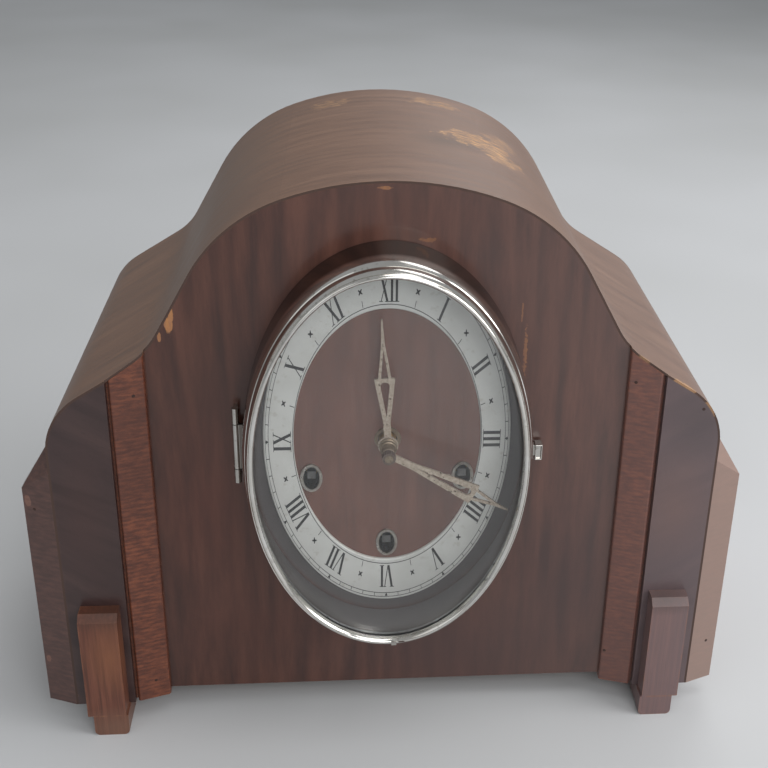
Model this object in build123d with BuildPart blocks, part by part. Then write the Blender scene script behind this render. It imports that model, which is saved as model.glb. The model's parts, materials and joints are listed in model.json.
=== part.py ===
from build123d import *
import os
from math import cos, hypot, pi, radians, sin, sqrt

# Tambour mantel clock, in millimetres. X runs to the right as seen from the
# front, Y runs to the back and Z runs up from the surface it stands on.

# Case outline, as seen from the front
case_height = 214.6  # top of the arch above the floor
case_half_width = 118.0
crown_radius = 107.0  # flat middle of the arch
crown_sweep = 20.0
haunch_radius = 58.0  # where the arch turns down
slope_angle = 61.0
slope_length = 24.3
cove_radius = 24.0  # hollow between the arch and the shoulder
shoulder_angle = 32.3
corner_radius = 25.8
foot_height = 9.0

# Case depth and board thicknesses
case_depth = 125.0  # centre panel's face to the back edge
board_thickness = 9.0
wrap_thickness = 5.0
veneer_thickness = 0.8
base_thickness = 8.0
back_thickness = 8.0
back_inset = 9.0  # back frame inside the case's back edge

# Front, in plan
panel_half_width = 83.5
panel_lift = 1.8
strip_width = 12.6
strip_inner_step = 2.0  # in front of the centre panel
strip_outer_step = 5.6
strip_round = 0.9
column_step = 6.0
groove_width = 0.9
groove_depth = 2.0
wing_width = 10.6
wing_rake = 3.9  # how far the wing's face runs back
wing_thickness = 7.8
wing_inner_top = 120.4
wing_front_top = 111.2
wing_outer_top = 103.0

# Pilasters and feet
pilaster_width = 14.0
pilaster_gap = 2.4  # from the strip's outer edge
pilaster_height = 45.5
pilaster_depth = 7.0
pilaster_bevel = 2.5
foot_width = 12.7
foot_gap = 1.7
foot_tuck = 12.0  # how far a front foot reaches under the column
foot_round = 2.0
rear_foot_depth = 16.0
rear_foot_inset = 5.0

# Dial
dial_x = -1.1  # dial, bezel and movement left of the case's middle
dial_height = 119.5
ring_half_width = 43.6
ring_half_height = 68.8
ring_side_width = 10.6
ring_end_width = 18.1
ring_thickness = 1.2
ring_bevel = 0.4
dial_hole_radius = 4.2
wind_spread = 27.0  # side winding holes from the centre line
wind_drop = 15.4  # side winding holes below the centre
time_drop = 43.5  # middle winding hole below the centre
eyelet_half_width = 3.9
eyelet_half_height = 5.6
eyelet_rim = 0.5
eyelet_wall = 0.5
eyelet_proud = 0.8

# Bezel, glass and bezel hinge
bezel_half_width = 50.2
bezel_half_height = 74.9
bezel_depth = 23.2
bezel_wall = 0.8
bezel_lean = 0.3  # drum wall leans in by this much at the bead
bezel_gap = 0.3
bead_depth = 14.0
bead_swell = 0.3
bead_length = 8.0
bead_inset = 0.35  # bead's front edge inside the drum wall
bead_step = 0.25
roll_rise = 0.8  # second roll in front of the bead
seam_rise = 0.2  # seam between the second roll and the lip
lip_width = 4.2  # lip's inner edge inside the bezel's foot line
lip_band = 1.6
lip_turn = 0.8  # how far the lip curls back at its inner edge
ledge_drop = 0.8  # ledge for the glass, behind the bead's front edge
glass_rim = 2.2  # glass edge inside the bezel's foot line
glass_gap = 0.6
glass_thickness = 1.6
glass_bulge = 4.8
retainer_thickness = 1.0
retainer_gap = 0.2
hinge_offset = 2.4
hinge_stand = 3.2  # hinge axis in front of the panel
hinge_knuckle = 1.2
hinge_pin = 0.6
hinge_top = 14.6  # above the dial's centre
hinge_bottom = 14.9
top_knuckle = 6.0
low_knuckle = 5.4
hinge_slack = 0.3
strap_thickness = 1.4
tab_width = 5.1
tab_height = 6.0
tab_depth = 4.0
tab_drop = 1.2  # tab's top below the dial's centre
tab_stand = 1.0  # tab's back in front of the panel

# Hands
hand_thickness = 0.9
hand_clearance = 0.8
hour_level = 4.2  # back of the hour hand in front of the panel
minute_level = 10.8
hour_hub = 3.6
minute_hub = 2.2
hour_stem = 1.3
minute_stem = 1.2
hour_shoulder = 3.6
minute_shoulder = 3.9
hour_eye = 1.6
minute_eye = 1.4
hour_angle = -3.0  # clockwise from twelve
minute_angle = 118.8
nut_radius = 2.4
nut_height = 2.6

# Movement frame
movement_gap = 15.0  # front board to front plate
plate_thickness = 2.0
plate_gap = 38.0
plate_half_width = 38.0
plate_above = 42.5
plate_below = 69.5
plate_corner = 4.0
pillar_inset = 6.0
pillar_radius = 3.0
post_radius = 3.5
nut_width = 7.0
nut_thickness = 3.0
shaft_clearance = 0.06

# Motion work
gear_module = 0.5
cannon_teeth = 15
minute_wheel_teeth = 45
minute_pinion_teeth = 12
hour_wheel_teeth = 48
motion_thickness = 1.5
motion_gap = 3.0
centre_arbor_radius = 1.5
cannon_wall = 0.5
nose_radius = 1.4  # cannon's front end, under the hand and nut
hour_pipe_wall = 0.9
stud_radius = 1.2

# Going train, strike and chime barrels
tooth_depth = 0.9
mesh_gap = 0.1
works_gap = 2.5  # front plate to the first wheel
wheel_thickness = 1.2
pinion_length = 3.6
train_arbor_radius = 1.0
great_radius = 21.0
side_great_radius = 19.0
barrel_radius = 17.0
barrel_depth = 16.0
barrel_wall = 1.0
second_pinion_radius = 3.0
centre_pinion_radius = 3.5
centre_wheel_radius = 14.0
third_pinion_radius = 2.5
third_wheel_radius = 11.0
third_bearing = 40.0
escape_pinion_radius = 2.0
escape_radius = 8.5
escape_bearing = 152.0
winding_radius = 2.0
winding_square = 3.0
winding_setback = 1.5
square_length = 12.0
ratchet_radius = 6.0
ratchet_teeth = 20

# Anchor, pendulum and hammers
anchor_rise = 12.5
anchor_reach = 7.5
anchor_thickness = 1.0
pendulum_length = 80.0
pendulum_stand = 5.0
rod_width = 2.2
bob_radius = 13.0
bob_thickness = 6.0
hammer_count = 4
hammer_clearance = 2.5  # behind the pendulum
hammer_spacing = 1.5
back_clearance = 4.0  # in front of the back frame
hammer_bore_radius = 1.5
hammer_hub = 3.2
hammer_head = 4.5
hammer_arm = 2.4
hammer_side = 24.0  # hammer arbor left of the centre line
hammer_reach = 22.0
hammer_rise = 7.0  # hammer arbor above the plates' lower edge
hammer_gap = 1.2  # head above its rod at rest
chime_rod_radius = 1.5
chime_rod_height = 14.0  # above the base board
chime_rod_length = 134.0
chime_rod_step = 8.0
block_width = 14.0
block_height = 24.0
block_margin = 4.0
bolt_width = 6.0
bolt_height = 3.0

# Back door
door_half_width = 60.0
door_low = 32.0
door_high = 172.0
door_round = 30.0
door_foot_round = 4.0
door_gap = 0.7
door_thickness = 6.0
leaf_width = 10.0
leaf_height = 16.0
leaf_thickness = 1.0
leaf_inset = 30.0  # hinge middles from the door's ends
door_knuckle = 1.8
door_pin = 0.9
door_lift = 0.3
knob_radius = 6.0
knob_neck = 3.0
knob_length = 8.0
knob_margin = 9.0

# Places that follow from the sizes above
ledge_depth = bead_depth + bead_length - ledge_drop
glass_seat = ledge_depth - glass_gap
front_reach = glass_seat + glass_bulge
panel_y = (front_reach - case_depth) / 2
case_back = panel_y + case_depth
board_back = panel_y + board_thickness
column_face = panel_y - column_step
pilaster_face = column_face - pilaster_depth
strip_outer_x = panel_half_width + strip_width
shell_inset = veneer_thickness + wrap_thickness
base_top = foot_height + base_thickness
back_face = case_back - back_inset
back_front = back_face - back_thickness
plate_y = board_back + movement_gap
works_front = plate_y + plate_thickness
works_back = works_front + plate_gap
works_end = works_back + plate_thickness
plate_low = dial_height - plate_below
plate_high = dial_height + plate_above
hinge_x = dial_x - bezel_half_width - hinge_offset
hinge_y = panel_y - hinge_stand
door_axis_x = door_half_width - door_gap / 2
door_axis_y = back_face + door_knuckle + door_lift

# Arbor centres in the front view
centre_at = (dial_x, dial_height)
time_at = (dial_x, dial_height - time_drop)
strike_at = (dial_x - wind_spread, dial_height - wind_drop)
chime_at = (dial_x + wind_spread, dial_height - wind_drop)
winding_points = [strike_at, chime_at, time_at]
second_at = (dial_x, time_at[1] + great_radius + second_pinion_radius)
second_wheel_radius = dial_height - second_at[1] - centre_pinion_radius
third_distance = centre_wheel_radius + third_pinion_radius
third_at = (
    dial_x + third_distance * cos(radians(third_bearing)),
    dial_height + third_distance * sin(radians(third_bearing)),
)
escape_distance = third_wheel_radius + escape_pinion_radius
escape_at = (
    third_at[0] + escape_distance * cos(radians(escape_bearing)),
    third_at[1] + escape_distance * sin(radians(escape_bearing)),
)
anchor_at = (escape_at[0], escape_at[1] + anchor_rise)
motion_distance = gear_module * (cannon_teeth + minute_wheel_teeth) / 2
minute_wheel_at = (dial_x, dial_height + motion_distance)
hammer_at = (dial_x - hammer_side, plate_low + hammer_rise)
rod_top = base_top + chime_rod_height + chime_rod_radius
pillar_points = [
    (dial_x + side * (plate_half_width - pillar_inset), z)
    for side in (-1, 1)
    for z in (plate_low + pillar_inset, plate_high - pillar_inset)
]

# Levels of the wheels behind the front plate
side_great_y = works_front + works_gap
barrel_y = side_great_y + wheel_thickness
great_y = barrel_y + barrel_depth
second_y = great_y + pinion_length
centre_wheel_y = second_y + pinion_length
third_y = centre_wheel_y + pinion_length
escape_y = third_y + pinion_length
motion_y = plate_y - motion_gap - motion_thickness
hour_wheel_y = motion_y - motion_gap - motion_thickness

os.makedirs("parts", exist_ok=True)


def save(piece, node):
    piece.part.label = node
    export_step(piece.part, f"parts/{node}.step")


def facing(y):
    # Front-view sketch plane at depth y, on which extrude runs to the front
    return Plane.XZ.offset(-y)


def spot(at, y):
    # The same plane with its origin on an arbor
    return Plane(origin=(at[0], y, at[1]), x_dir=(1, 0, 0), z_dir=(0, -1, 0))


def sine(angle):
    return sin(radians(angle))


def cosine(angle):
    return cos(radians(angle))


def drum_inside(depth):
    # Half width inside the bezel's drum wall at a depth in front of the panel
    lean = bezel_lean * (depth - bezel_gap) / (bead_depth - bezel_gap)
    return bezel_half_width - lean - bezel_wall


def case_outline(inset):
    # Arch, cove, shoulder and side, drawn parallel to the outside of the case
    slope_end = (
        crown_radius * sine(crown_sweep)
        + haunch_radius * (sine(slope_angle) - sine(crown_sweep))
        + slope_length * cosine(slope_angle)
    )
    cove_end = slope_end + cove_radius * (sine(slope_angle) - sine(shoulder_angle))
    corner_start = case_half_width - corner_radius * (1 - sine(shoulder_angle))
    shoulder_length = (corner_start - cove_end) / cosine(shoulder_angle)
    with BuildSketch() as face:
        with BuildLine():
            crown = JernArc((0, case_height - inset), (1, 0), crown_radius - inset, -crown_sweep)
            haunch = JernArc(
                crown @ 1, crown % 1, haunch_radius - inset, crown_sweep - slope_angle
            )
            slope = Line(haunch @ 1, haunch @ 1 + (haunch % 1) * slope_length)
            cove = JernArc(
                slope @ 1, slope % 1, cove_radius + inset, slope_angle - shoulder_angle
            )
            shoulder = Line(cove @ 1, cove @ 1 + (cove % 1) * shoulder_length)
            corner = JernArc(
                shoulder @ 1, shoulder % 1, corner_radius - inset, shoulder_angle - 90
            )
            side = Line(corner @ 1, (case_half_width - inset, foot_height))
            Line(side @ 1, (0, foot_height))
            mirror(about=Plane.YZ)
        make_face()
    return face.sketch


def toothed_disc(tip_radius, teeth, depth):
    points = []
    for tooth in range(teeth):
        for radius, shift in ((tip_radius, 0), (tip_radius - depth, 0.5)):
            turn = 2 * pi * (tooth + shift) / teeth
            points.append((radius * cos(turn), radius * sin(turn)))
    with BuildSketch() as disc:
        with BuildLine():
            Polyline(*points, close=True)
        make_face()
    return disc.sketch


def gear_disc(pitch_radius):
    return toothed_disc(pitch_radius - mesh_gap, round(2 * pitch_radius / gear_module), tooth_depth)


def motion_disc(teeth):
    return toothed_disc(gear_module * teeth / 2 - mesh_gap, teeth, gear_module)


def hand_face(length, hub, bore, stem, shoulder, eye_half, shares):
    # Pierced hand pointing up: hub, open stem, shoulders and open spear. The shares
    # of its length are where the eye starts, where the shoulders are and where the
    # spear closes.
    eye_from, shoulder_at, spear_at = shares
    shoulder_z = shoulder_at * length
    eye_top = shoulder_z - shoulder / 3
    spear_z = spear_at * length
    spear_half = shoulder * 0.62
    needle = hand_thickness / 4
    right = [
        (stem, 0),
        (stem, eye_from * length),
        (shoulder, shoulder_z),
        (spear_half, shoulder_z + needle),
        (needle * 3, spear_z),
        (needle, length),
    ]
    left = [(-x, z) for x, z in reversed(right)]
    eye_low = eye_from * length + stem
    eye_mid = eye_top - eye_half
    gap = spear_half - stem * 0.75
    with BuildSketch() as face:
        with BuildLine():
            Polyline(*right, *left, close=True)
        make_face()
        Circle(hub)
        with BuildLine():
            flank = Line((eye_half, eye_mid), (0, eye_low))
            Line(flank @ 1, (-eye_half, eye_mid))
            ThreePointArc((-eye_half, eye_mid), (0, eye_top), (eye_half, eye_mid))
        make_face(mode=Mode.SUBTRACT)
        with BuildLine():
            Polyline(
                (gap, shoulder_z + needle),
                (0, spear_z - stem),
                (-gap, shoulder_z + needle),
                close=True,
            )
        make_face(mode=Mode.SUBTRACT)
        Circle(bore, mode=Mode.SUBTRACT)
    return face.sketch


# Front of the case: centre panel, canted strips, columns and wings

with BuildPart() as front_board:
    with BuildSketch(facing(board_back)):
        add(case_outline(veneer_thickness))
        with Locations((0, foot_height + panel_lift)):
            Rectangle(
                2 * panel_half_width,
                case_height,
                align=(Align.CENTER, Align.MIN),
                mode=Mode.INTERSECT,
            )
        with Locations(centre_at):
            Circle(dial_hole_radius, mode=Mode.SUBTRACT)
        with Locations(*winding_points):
            Ellipse(
                eyelet_half_width - eyelet_rim,
                eyelet_half_height - eyelet_rim,
                mode=Mode.SUBTRACT,
            )
    extrude(amount=board_thickness)
save(front_board, "front_board")


def front_strip(side):
    inner = side * panel_half_width
    outer = side * strip_outer_x
    groove = side * (strip_outer_x - groove_width)
    with BuildPart() as piece:
        with BuildSketch(Plane.XY.offset(foot_height)):
            with BuildLine():
                Polyline(
                    (inner, board_back),
                    (inner, panel_y - strip_inner_step),
                    (groove, panel_y - strip_outer_step),
                    (groove, panel_y - strip_outer_step + groove_depth),
                    (outer, panel_y - strip_outer_step + groove_depth),
                    (outer, board_back),
                    close=True,
                )
            make_face()
            inner_edge = vertices().group_by(Axis.X)[0 if side > 0 else -1]
            crests = [inner_edge.sort_by(Axis.Y)[0], vertices().sort_by(Axis.Y)[0]]
            fillet(crests, strip_round)
        extrude(amount=case_height)
        with BuildSketch(facing(board_back)):
            add(case_outline(veneer_thickness))
        extrude(amount=case_depth, mode=Mode.INTERSECT)
    return piece


def front_column(side):
    inner = side * strip_outer_x
    outer = side * (case_half_width - veneer_thickness)
    with BuildPart() as piece:
        with BuildSketch(facing(board_back)):
            add(case_outline(veneer_thickness))
            with Locations(((inner + outer) / 2, foot_height)):
                Rectangle(
                    abs(outer - inner),
                    case_height,
                    align=(Align.CENTER, Align.MIN),
                    mode=Mode.INTERSECT,
                )
        extrude(amount=board_thickness + column_step)
    return piece


for side, name in ((-1, "left"), (1, "right")):
    save(front_strip(side), f"{name}_strip")
    save(front_column(side), f"{name}_column")


def case_wing(side):
    inner = side * case_half_width
    outer = side * (case_half_width + wing_width)
    wing_back = column_face + wing_thickness
    front_fall = (side * wing_width, wing_rake, wing_outer_top - wing_front_top)
    back_rise = (0, wing_thickness, wing_inner_top - wing_front_top)
    facet_out = Vector(*front_fall).cross(Vector(*back_rise)) * side
    with BuildPart() as piece:
        with BuildSketch(Plane.XY.offset(foot_height)):
            with BuildLine():
                Polyline(
                    (inner, column_face),
                    (outer, column_face + wing_rake),
                    (outer, wing_back),
                    (inner, wing_back),
                    close=True,
                )
            make_face()
        extrude(amount=wing_inner_top)
        with BuildSketch(facing(wing_back)):
            with BuildLine():
                Polyline(
                    (inner, foot_height),
                    (outer, foot_height),
                    (outer, wing_outer_top),
                    (inner, wing_inner_top),
                    close=True,
                )
            make_face()
        extrude(amount=wing_thickness, mode=Mode.INTERSECT)
        facet = Plane(origin=(inner, column_face, wing_front_top), z_dir=facet_out)
        split(bisect_by=facet, keep=Keep.BOTTOM)
    return piece


for side, name in ((-1, "left"), (1, "right")):
    save(case_wing(side), f"{name}_wing")

# Pilasters on the columns, and the feet

pilaster_middle = strip_outer_x + pilaster_gap + pilaster_width / 2
foot_middle = strip_outer_x + foot_gap + foot_width / 2

with BuildPart() as pilasters:
    with Locations(*[(side * pilaster_middle, column_face, foot_height) for side in (-1, 1)]):
        Box(
            pilaster_width,
            pilaster_depth,
            pilaster_height,
            align=(Align.CENTER, Align.MAX, Align.MIN),
        )
    upper = edges().filter_by(Axis.X).group_by(Axis.Z)[-1]
    chamfer(upper.group_by(Axis.Y)[0], pilaster_bevel)
save(pilasters, "pilasters")

with BuildPart() as front_feet:
    with Locations(*[(side * foot_middle, pilaster_face, 0) for side in (-1, 1)]):
        Box(
            foot_width,
            pilaster_depth + foot_tuck,
            foot_height,
            align=(Align.CENTER, Align.MIN, Align.MIN),
        )
    fillet(edges().filter_by(Axis.Y).group_by(Axis.Z)[0], foot_round)
save(front_feet, "front_feet")

with BuildPart() as rear_feet:
    rear_foot_y = case_back - rear_foot_inset
    with Locations(*[(side * foot_middle, rear_foot_y, 0) for side in (-1, 1)]):
        Box(
            foot_width,
            rear_foot_depth,
            foot_height,
            align=(Align.CENTER, Align.MAX, Align.MIN),
        )
    fillet(edges().filter_by(Axis.Y).group_by(Axis.Z)[0], foot_round)
save(rear_feet, "rear_feet")

# Bent wrap with its veneer, base board and back frame

with BuildPart() as case_wrap:
    with BuildSketch(facing(case_back)):
        add(case_outline(veneer_thickness))
        add(case_outline(shell_inset), mode=Mode.SUBTRACT)
    extrude(amount=case_depth - board_thickness)
save(case_wrap, "case_wrap")

with BuildPart() as top_veneer:
    with BuildSketch(facing(case_back)):
        add(case_outline(0))
        add(case_outline(veneer_thickness), mode=Mode.SUBTRACT)
    extrude(amount=case_depth + column_step)
    with BuildSketch(Plane.XY.offset(foot_height)):
        with BuildLine():
            Polyline(
                (-strip_outer_x, column_face - column_step),
                (-strip_outer_x, panel_y - strip_outer_step),
                (-panel_half_width, panel_y - strip_inner_step),
                (-panel_half_width, panel_y),
                (panel_half_width, panel_y),
                (panel_half_width, panel_y - strip_inner_step),
                (strip_outer_x, panel_y - strip_outer_step),
                (strip_outer_x, column_face - column_step),
                close=True,
            )
        make_face()
    extrude(amount=case_height, mode=Mode.SUBTRACT)
save(top_veneer, "top_veneer")

with BuildPart() as bottom_board:
    with Locations((0, board_back, foot_height)):
        Box(
            2 * (case_half_width - shell_inset),
            back_face - board_back,
            base_thickness,
            align=(Align.CENTER, Align.MIN, Align.MIN),
        )
save(bottom_board, "bottom_board")


def door_face(gap):
    with BuildSketch() as face:
        with Locations((0, (door_low + door_high) / 2)):
            Rectangle(2 * (door_half_width - gap), door_high - door_low - 2 * gap)
        fillet(vertices().group_by(Axis.Y)[-1], door_round - gap)
        fillet(vertices().group_by(Axis.Y)[0], door_foot_round - gap)
    return face.sketch


with BuildPart() as back_frame:
    with BuildSketch(facing(back_face)):
        add(case_outline(shell_inset))
        with Locations((0, base_top)):
            Rectangle(
                2 * case_half_width,
                case_height,
                align=(Align.CENTER, Align.MIN),
                mode=Mode.INTERSECT,
            )
        add(door_face(0), mode=Mode.SUBTRACT)
    extrude(amount=back_thickness)
save(back_frame, "back_frame")

# Back door with its knob and two butt hinges

with BuildPart() as back_door:
    with BuildSketch(facing(back_face)):
        add(door_face(door_gap))
    extrude(amount=door_thickness)
save(back_door, "back_door")

with BuildPart() as door_knob:
    knob_x = -(door_half_width - knob_margin)
    with BuildSketch(Plane.XY.offset((door_low + door_high) / 2)):
        with BuildLine():
            foot = Line((knob_x, back_face), (knob_x + knob_neck, back_face))
            stem = Line(foot @ 1, (knob_x + knob_neck, back_face + knob_length / 4))
            crown = Spline(
                stem @ 1,
                (knob_x + knob_radius, back_face + knob_length * 0.65),
                (knob_x, back_face + knob_length),
                tangents=((1, 0), (-1, 0)),
            )
            Line(crown @ 1, foot @ 0)
        make_face()
    revolve(axis=Axis((knob_x, back_face, (door_low + door_high) / 2), (0, 1, 0)))
save(door_knob, "door_knob")

leaf_levels = [door_low + leaf_inset, door_high - leaf_inset - leaf_height]
leaf_notch = door_knuckle + door_lift + door_gap / 2


def butt_leaves(side, low_half, bore):
    # Two hinge leaves, each with half of the knuckle's height
    with BuildPart() as piece:
        for level in leaf_levels:
            half = (leaf_height - hinge_slack) / 2
            knuckle_z = level if low_half else level + half + hinge_slack
            with BuildSketch(Plane.XY.offset(level)):
                with Locations((door_axis_x + side * leaf_notch, back_face)):
                    Rectangle(
                        leaf_width,
                        leaf_thickness,
                        align=(Align.MIN if side > 0 else Align.MAX, Align.MIN),
                    )
            extrude(amount=leaf_height)
            with BuildSketch(Plane.XY.offset(knuckle_z)):
                with Locations((door_axis_x, back_face + door_lift)):
                    Rectangle(
                        leaf_notch,
                        leaf_thickness - door_lift,
                        align=(Align.MIN if side > 0 else Align.MAX, Align.MIN),
                    )
                with Locations((door_axis_x, door_axis_y)):
                    Circle(door_knuckle)
                    Circle(bore, mode=Mode.SUBTRACT)
            extrude(amount=half)
    return piece


save(butt_leaves(1, True, door_pin), "door_hinge_leaves")
save(butt_leaves(-1, False, door_pin + shaft_clearance), "door_hinge_straps")

with BuildPart() as door_hinge_pins:
    with Locations(*[(door_axis_x, door_axis_y, level) for level in leaf_levels]):
        Cylinder(door_pin, leaf_height, align=(Align.CENTER, Align.CENTER, Align.MIN))
save(door_hinge_pins, "door_hinge_pins")

# Chapter ring and winding eyelets on the centre panel

with BuildPart() as chapter_ring:
    with BuildSketch(facing(panel_y)):
        with Locations(centre_at):
            Ellipse(ring_half_width, ring_half_height)
            Ellipse(
                ring_half_width - ring_side_width,
                ring_half_height - ring_end_width,
                mode=Mode.SUBTRACT,
            )
    extrude(amount=ring_thickness)
    chamfer(faces().sort_by(Axis.Y)[0].edges(), ring_bevel)
save(chapter_ring, "chapter_ring")

with BuildPart() as winding_eyelets:
    sleeve_half_width = eyelet_half_width - eyelet_rim
    sleeve_half_height = eyelet_half_height - eyelet_rim
    with BuildSketch(facing(board_back)):
        with Locations(*winding_points):
            Ellipse(sleeve_half_width, sleeve_half_height)
    extrude(amount=board_thickness)
    with BuildSketch(facing(panel_y)):
        with Locations(*winding_points):
            Ellipse(eyelet_half_width, eyelet_half_height)
    extrude(amount=eyelet_proud)
    with BuildSketch(facing(board_back)):
        with Locations(*winding_points):
            Ellipse(sleeve_half_width - eyelet_wall, sleeve_half_height - eyelet_wall)
    extrude(amount=board_thickness + eyelet_proud, mode=Mode.SUBTRACT)
save(winding_eyelets, "winding_eyelets")

# Bezel: drum, rolled bead, a second smaller roll and the inner lip, all round the dial

with BuildPart() as bezel_ring:
    with BuildLine(spot(centre_at, panel_y)) as foot_line:
        EllipticalCenterArc((0, 0), bezel_half_width, bezel_half_height, arc_size=360)
    with BuildSketch(Plane.XY.offset(dial_height)):
        with BuildLine():
            foot_x = dial_x + bezel_half_width
            bead_x = foot_x - bezel_lean
            roll_x = bead_x - bead_inset - bead_step
            lip_x = foot_x - lip_width
            seam_x = lip_x + lip_band
            bead_end = panel_y - bead_depth - bead_length
            lip_front = panel_y - bezel_depth
            ledge_y = panel_y - ledge_depth
            drum = Line((foot_x, panel_y - bezel_gap), (bead_x, panel_y - bead_depth))
            bead = ThreePointArc(
                drum @ 1,
                (bead_x + bead_swell, panel_y - bead_depth - bead_length / 2),
                (bead_x - bead_inset, bead_end),
            )
            step = Line(bead @ 1, (roll_x, bead_end))
            roll = ThreePointArc(
                step @ 1,
                ((roll_x + seam_x) / 2, bead_end - roll_rise),
                (seam_x, bead_end - seam_rise),
            )
            lip = ThreePointArc(
                roll @ 1,
                ((seam_x + lip_x) / 2, lip_front),
                (lip_x, lip_front + lip_turn),
            )
            edge = Line(lip @ 1, (lip_x, ledge_y))
            under = Line(edge @ 1, (roll_x - bezel_wall, ledge_y))
            inside = Line(under @ 1, (bead_x - bezel_wall, panel_y - bead_depth))
            wall = Line(inside @ 1, (foot_x - bezel_wall, panel_y - bezel_gap))
            Line(wall @ 1, drum @ 0)
        make_face()
    sweep(path=foot_line.edges()[0])
save(bezel_ring, "bezel_ring")

glass_half_width = bezel_half_width - glass_rim
glass_half_height = bezel_half_height - glass_rim

with BuildPart() as round_dome:
    with BuildSketch(Plane.XY):
        with BuildLine():
            seat_y = panel_y - glass_seat
            face_radius = (glass_half_width**2 + glass_bulge**2) / (2 * glass_bulge)
            dome_turn = glass_half_width * (face_radius - glass_thickness) / face_radius
            face = RadiusArc((glass_half_width, seat_y), (0, seat_y - glass_bulge), face_radius)
            crown_wall = Line(face @ 1, (0, seat_y - glass_bulge + glass_thickness))
            inner = ThreePointArc(
                crown_wall @ 1,
                (
                    dome_turn / 2,
                    seat_y
                    - glass_bulge
                    + face_radius
                    - sqrt((face_radius - glass_thickness) ** 2 - dome_turn**2 / 4),
                ),
                (glass_half_width, seat_y + glass_thickness),
            )
            Line(inner @ 1, face @ 0)
        make_face()
    revolve(axis=Axis.Y)
    scale(by=(1, 1, glass_half_height / glass_half_width))

with BuildPart() as glass:
    with Locations((dial_x, 0, dial_height)):
        add(round_dome.part)
save(glass, "glass")

with BuildPart() as glass_retainer:
    retainer_back = panel_y - glass_seat + glass_thickness + retainer_gap + retainer_thickness
    with BuildSketch(facing(retainer_back)):
        with Locations(centre_at):
            Ellipse(glass_half_width, glass_half_height)
            Ellipse(
                bezel_half_width - lip_width,
                bezel_half_height - lip_width,
                mode=Mode.SUBTRACT,
            )
    extrude(amount=retainer_thickness)
save(glass_retainer, "glass_retainer")

with BuildPart() as bezel_tab:
    tab_x = dial_x + bezel_half_width
    with Locations((tab_x, panel_y - tab_stand, dial_height - tab_drop)):
        Box(
            tab_width,
            tab_depth,
            tab_height,
            align=(Align.MIN, Align.MAX, Align.MAX),
        )
    fillet(edges().filter_by(Axis.Y).group_by(Axis.X)[-1], tab_height / 8)
save(bezel_tab, "bezel_tab")

# Bezel hinge: two knuckles on the panel, one strap on the bezel, and the pin

hinge_low = dial_height - hinge_bottom
hinge_high = dial_height + hinge_top

with BuildPart() as bezel_hinge_leaf:
    for level, length in ((hinge_low, low_knuckle), (hinge_high - top_knuckle, top_knuckle)):
        with BuildSketch(Plane.XY.offset(level)):
            with Locations((hinge_x, hinge_y)):
                Rectangle(strap_thickness, hinge_stand, align=(Align.CENTER, Align.MIN))
                Circle(hinge_knuckle)
                Circle(hinge_pin, mode=Mode.SUBTRACT)
        extrude(amount=length)
save(bezel_hinge_leaf, "bezel_hinge_leaf")

with BuildPart() as bezel_hinge_strap:
    with BuildSketch(Plane.XY.offset(hinge_low + low_knuckle + hinge_slack)):
        with Locations((hinge_x, hinge_y)):
            Rectangle(
                hinge_offset,
                strap_thickness,
                align=(Align.MIN, Align.CENTER),
            )
            Circle(hinge_knuckle)
            Circle(hinge_pin + shaft_clearance, mode=Mode.SUBTRACT)
    extrude(amount=hinge_high - hinge_low - top_knuckle - low_knuckle - 2 * hinge_slack)
save(bezel_hinge_strap, "bezel_hinge_strap")

with BuildPart() as bezel_hinge_pin:
    with Locations((hinge_x, hinge_y, hinge_low)):
        Cylinder(
            hinge_pin,
            hinge_high - hinge_low,
            align=(Align.CENTER, Align.CENTER, Align.MIN),
        )
save(bezel_hinge_pin, "bezel_hinge_pin")

# Hands on their arbors, and the motion work behind the dial

cannon_radius = centre_arbor_radius + shaft_clearance + cannon_wall
hour_bore_radius = cannon_radius + shaft_clearance
hour_pipe_radius = hour_bore_radius + hour_pipe_wall
hour_length = drum_inside(hour_level) - hand_clearance
minute_length = drum_inside(minute_level + hand_thickness) - hand_clearance
minute_front = panel_y - minute_level - hand_thickness
cannon_front = panel_y - minute_level
arbor_front = cannon_front + 2 * cannon_wall

with BuildPart() as hour_hand:
    with BuildSketch(spot(centre_at, panel_y - hour_level)):
        add(
            hand_face(
                hour_length,
                hour_hub,
                hour_pipe_radius,
                hour_stem,
                hour_shoulder,
                hour_eye,
                (0.2, 0.54, 0.8),
            ),
            rotation=-hour_angle,
        )
    extrude(amount=hand_thickness)
save(hour_hand, "hour_hand")

with BuildPart() as minute_hand:
    with BuildSketch(spot(centre_at, panel_y - minute_level)):
        add(
            hand_face(
                minute_length,
                minute_hub,
                nose_radius,
                minute_stem,
                minute_shoulder,
                minute_eye,
                (0.2, 0.71, 0.89),
            ),
            rotation=-minute_angle,
        )
    extrude(amount=hand_thickness)
save(minute_hand, "minute_hand")

with BuildPart() as hand_nut:
    with BuildSketch(spot(centre_at, minute_front)):
        add(toothed_disc(nut_radius, ratchet_teeth, nut_radius / 10))
        Circle(nose_radius, mode=Mode.SUBTRACT)
    extrude(amount=nut_height)
save(hand_nut, "hand_nut")

with BuildPart() as centre_arbor:
    with BuildSketch(spot(centre_at, works_end)):
        Circle(centre_arbor_radius)
    extrude(amount=works_end - arbor_front)
save(centre_arbor, "centre_arbor")

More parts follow.
